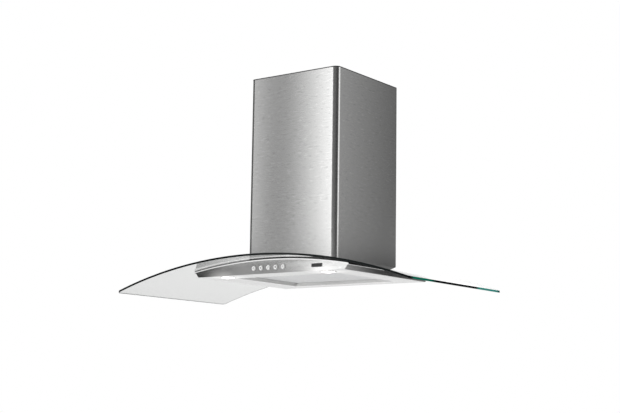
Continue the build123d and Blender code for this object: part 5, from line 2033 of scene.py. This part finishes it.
@dataclass
class Studio:
    """Plain soft studio: white surroundings, pale floor, lamps and a light tent.

    Attributes:
        floor_height: Height of the floor.
        floor_half: Half its width.
        floor_clear: Distances from the middle at which it starts to fade out and is gone.
        sky: Strength of the surroundings on matt surfaces.
        tent_radius: Radius of the light tent.
        tent_centre: Its middle in plan.
        tent_pitch: Height between its rings of points, in the part that shows most.
        tent_glow: Strength of the tent at each bearing in degrees, from the room round to
            the right, for rows from the bottom up.
    """

    floor_height: float = -620 * MM
    floor_half: float = 6.0
    floor_clear: Flat = (1.6, 4.8)
    sky: float = 0.8
    tent_radius: float = 750 * MM
    tent_centre: Flat = (0.0, -200 * MM)
    tent_pitch: float = 70 * MM
    tent_glow: dict[float, dict[float, float]] = field(default_factory=lambda: TENT_GLOW)

    def build(self) -> None:
        """Builds the surroundings, the floor, the tent and the lamps."""
        self.surroundings()
        self.floor()
        self.tent()
        self.lamp("key_light", Vector((-1.3, -2.6, 2.4)), size=1.8, power=34.0)
        self.lamp("fill_light", Vector((2.4, -1.6, 1.2)), size=1.6, power=14.0)
        bpy.context.scene.view_settings.view_transform = "Standard"

    def surroundings(self) -> None:
        """Makes the world white where it is seen, and softer where it lights."""
        world = bpy.data.worlds.new("studio")
        bpy.context.scene.world = world
        world.use_nodes = True
        graph = Graph(world.node_tree)
        rays = graph.add("ShaderNodeLightPath").outputs
        seen = graph.math("MAXIMUM", rays["Is Camera Ray"], rays["Is Glossy Ray"])
        seen = graph.math("MAXIMUM", seen, rays["Is Transmission Ray"])
        inputs = {"Color": (1, 1, 1, 1), "Strength": graph.span(seen, 0, 1, self.sky, 1.0)}
        graph.set(graph.tree.nodes["Background"], inputs)

    @staticmethod
    def screen(
        name: str, material_name: str, spots: Sequence[Sequence[float]], faces: Sequence[Sequence[int]]
    ) -> tuple[bpy.types.Object, Graph]:
        """Makes a surface of the studio.

        Args:
            name: Its name.
            material_name: Name of its material.
            spots: Places of its points.
            faces: Its faces.

        Returns:
            The object and the graph of its material, which has no shader of its own yet.
        """
        mesh = bpy.data.meshes.new(name)
        mesh.from_pydata(spots, [], faces)
        screen = bpy.data.objects.new(name, mesh)
        bpy.context.scene.collection.objects.link(screen)
        material = bpy.data.materials.new(material_name)
        material.use_nodes = True
        mesh.materials.append(material)
        return screen, Graph(material.node_tree)

    def floor(self) -> None:
        """Builds the pale floor. It is clear from below and fades out far from the hood."""
        outline = rectangle((-self.floor_half,) * 2, (self.floor_half,) * 2)
        spots = [(x, y, self.floor_height) for x, y in outline]
        floor, graph = self.screen("floor", "pale_floor", spots, [(0, 1, 2, 3)])
        paint = graph.add("ShaderNodeBsdfDiffuse", {"Color": (0.97, 0.97, 0.97, 1)})
        clear = graph.add("ShaderNodeBsdfTransparent")
        below = graph.add("ShaderNodeNewGeometry").outputs["Backfacing"]
        spot = graph.add("ShaderNodeTexCoord").outputs["Object"]
        away = graph.length(graph.vector("MULTIPLY", spot, (1, 1, 0)))
        faded = graph.math("MAXIMUM", below, graph.span(away, *self.floor_clear))
        inputs = {0: faded, 1: paint.outputs[0], 2: clear.outputs[0]}
        mixed = graph.add("ShaderNodeMixShader", inputs).outputs[0]
        graph.set(graph.tree.nodes["Material Output"], {"Surface": mixed})

    def glow(self, height: float, bearing: float) -> float:
        """Strength of the tent.

        Args:
            height: Height on it.
            bearing: Angle from the room round to the right, in degrees.

        Returns:
            The strength there.
        """
        levels = sorted(self.tent_glow)
        rows = [sorted(self.tent_glow[level].items()) for level in levels]
        found = [np.interp(bearing, *zip(*row, strict=True), period=360) for row in rows]
        return float(np.interp(height, levels, found))

    def tent(self) -> None:
        """Builds the light tent round the hood, which only shows in its gloss."""
        levels = sorted({*self.tent_glow, *spaced(-0.58, 0.4, self.tent_pitch)})
        bearings = spaced(-180.0, 180.0, 1.0)[:-1]
        middle_x, middle_y = self.tent_centre
        around = [(math.sin(turn), -math.cos(turn)) for turn in map(math.radians, bearings)]
        spots = [
            (middle_x + self.tent_radius * x, middle_y + self.tent_radius * y, level)
            for level in levels
            for x, y in around
        ]
        glows = [self.glow(level, bearing) for level in levels for bearing in bearings]
        count = len(bearings)
        faces = [
            (near, far, far + count, near + count)
            for start in range(0, count * (len(levels) - 1), count)
            for near, far in pairs(range(start, start + count))
        ]
        tent, graph = self.screen("light_tent", "tent_cloth", spots, faces)
        tent.data.attributes.new("glow", "FLOAT", "POINT").data.foreach_set("value", glows)
        glow = graph.add("ShaderNodeAttribute", attribute_name="glow").outputs["Fac"]
        light = graph.add("ShaderNodeEmission", {"Strength": glow}).outputs[0]
        graph.set(graph.tree.nodes["Material Output"], {"Surface": light})
        tent.visible_camera = tent.visible_diffuse = tent.visible_shadow = False

    @staticmethod
    def lamp(name: str, spot: Vector, size: float, power: float) -> None:
        """Hangs a soft lamp that shines at the hood and doesn't show in its gloss.

        Args:
            name: Name of the lamp.
            spot: Its place.
            size: Width of its screen.
            power: Its power in watts.
        """
        data = bpy.data.lights.new(name, "AREA")
        data.size, data.energy = size, power
        lamp = bpy.data.objects.new(name, data)
        lamp.location = spot
        lamp.rotation_mode = "QUATERNION"
        lamp.rotation_quaternion = (MIDDLE - spot).to_track_quat("-Z", "Y")
        lamp.visible_camera = lamp.visible_glossy = False
        bpy.context.scene.collection.objects.link(lamp)


@dataclass
class Camera:
    """Camera at the photograph's viewing angle.

    Attributes:
        bearing: Angle from the room's side towards the right, in degrees.
        rise: Angle above the level, in degrees.
        roll: Tilt about the view, in degrees.
        distance: Distance from the hood's middle.
        slip: How far the aim moves right and up from it in the view.
        lens: Focal length in millimetres.
        sensor: Width of the sensor in millimetres.
    """

    bearing: float = 36.237
    rise: float = -8.698
    roll: float = 0.847
    distance: float = 3.3337
    slip: Flat = (0.138 * MM, -9.094 * MM)
    lens: float = 74.09
    sensor: float = 36.0

    def build(self) -> None:
        """Makes the scene's camera."""
        a, e, r = (math.radians(angle) for angle in (self.bearing, self.rise, self.roll))
        back = Vector((math.sin(a) * math.cos(e), -math.cos(a) * math.cos(e), math.sin(e)))
        right = Vector((math.cos(a), math.sin(a), 0))
        up = back.cross(right)
        right, up = right * math.cos(r) + up * math.sin(r), up * math.cos(r) - right * math.sin(r)
        spot = MIDDLE + right * self.slip[0] + up * self.slip[1] + back * self.distance
        data = bpy.data.cameras.new("photo_camera")
        data.lens, data.sensor_width = self.lens, self.sensor
        data.clip_start, data.clip_end = 0.05, 60.0
        camera = bpy.data.objects.new("photo_camera", data)
        turned = Matrix((right, up, back)).transposed().to_4x4()
        camera.matrix_world = Matrix.Translation(spot) @ turned
        bpy.context.scene.collection.objects.link(camera)
        bpy.context.scene.camera = camera


def main() -> None:
    """Builds the hood's looks round the CAD frame, in the order of its sub-assemblies."""
    logging.basicConfig(level=logging.INFO, format="%(name)s: %(message)s")
    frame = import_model()
    bench = Bench(frame["nodes"])
    parts = (Canopy, SteelBody, ButtonRow, BarePlate, FilterCassette, Lamps, FlueCovers, InnerWorks)
    for part in parts:
        part(bench).build()
    Studio().build()
    Camera().build()


if __name__ == "__main__":
    main()
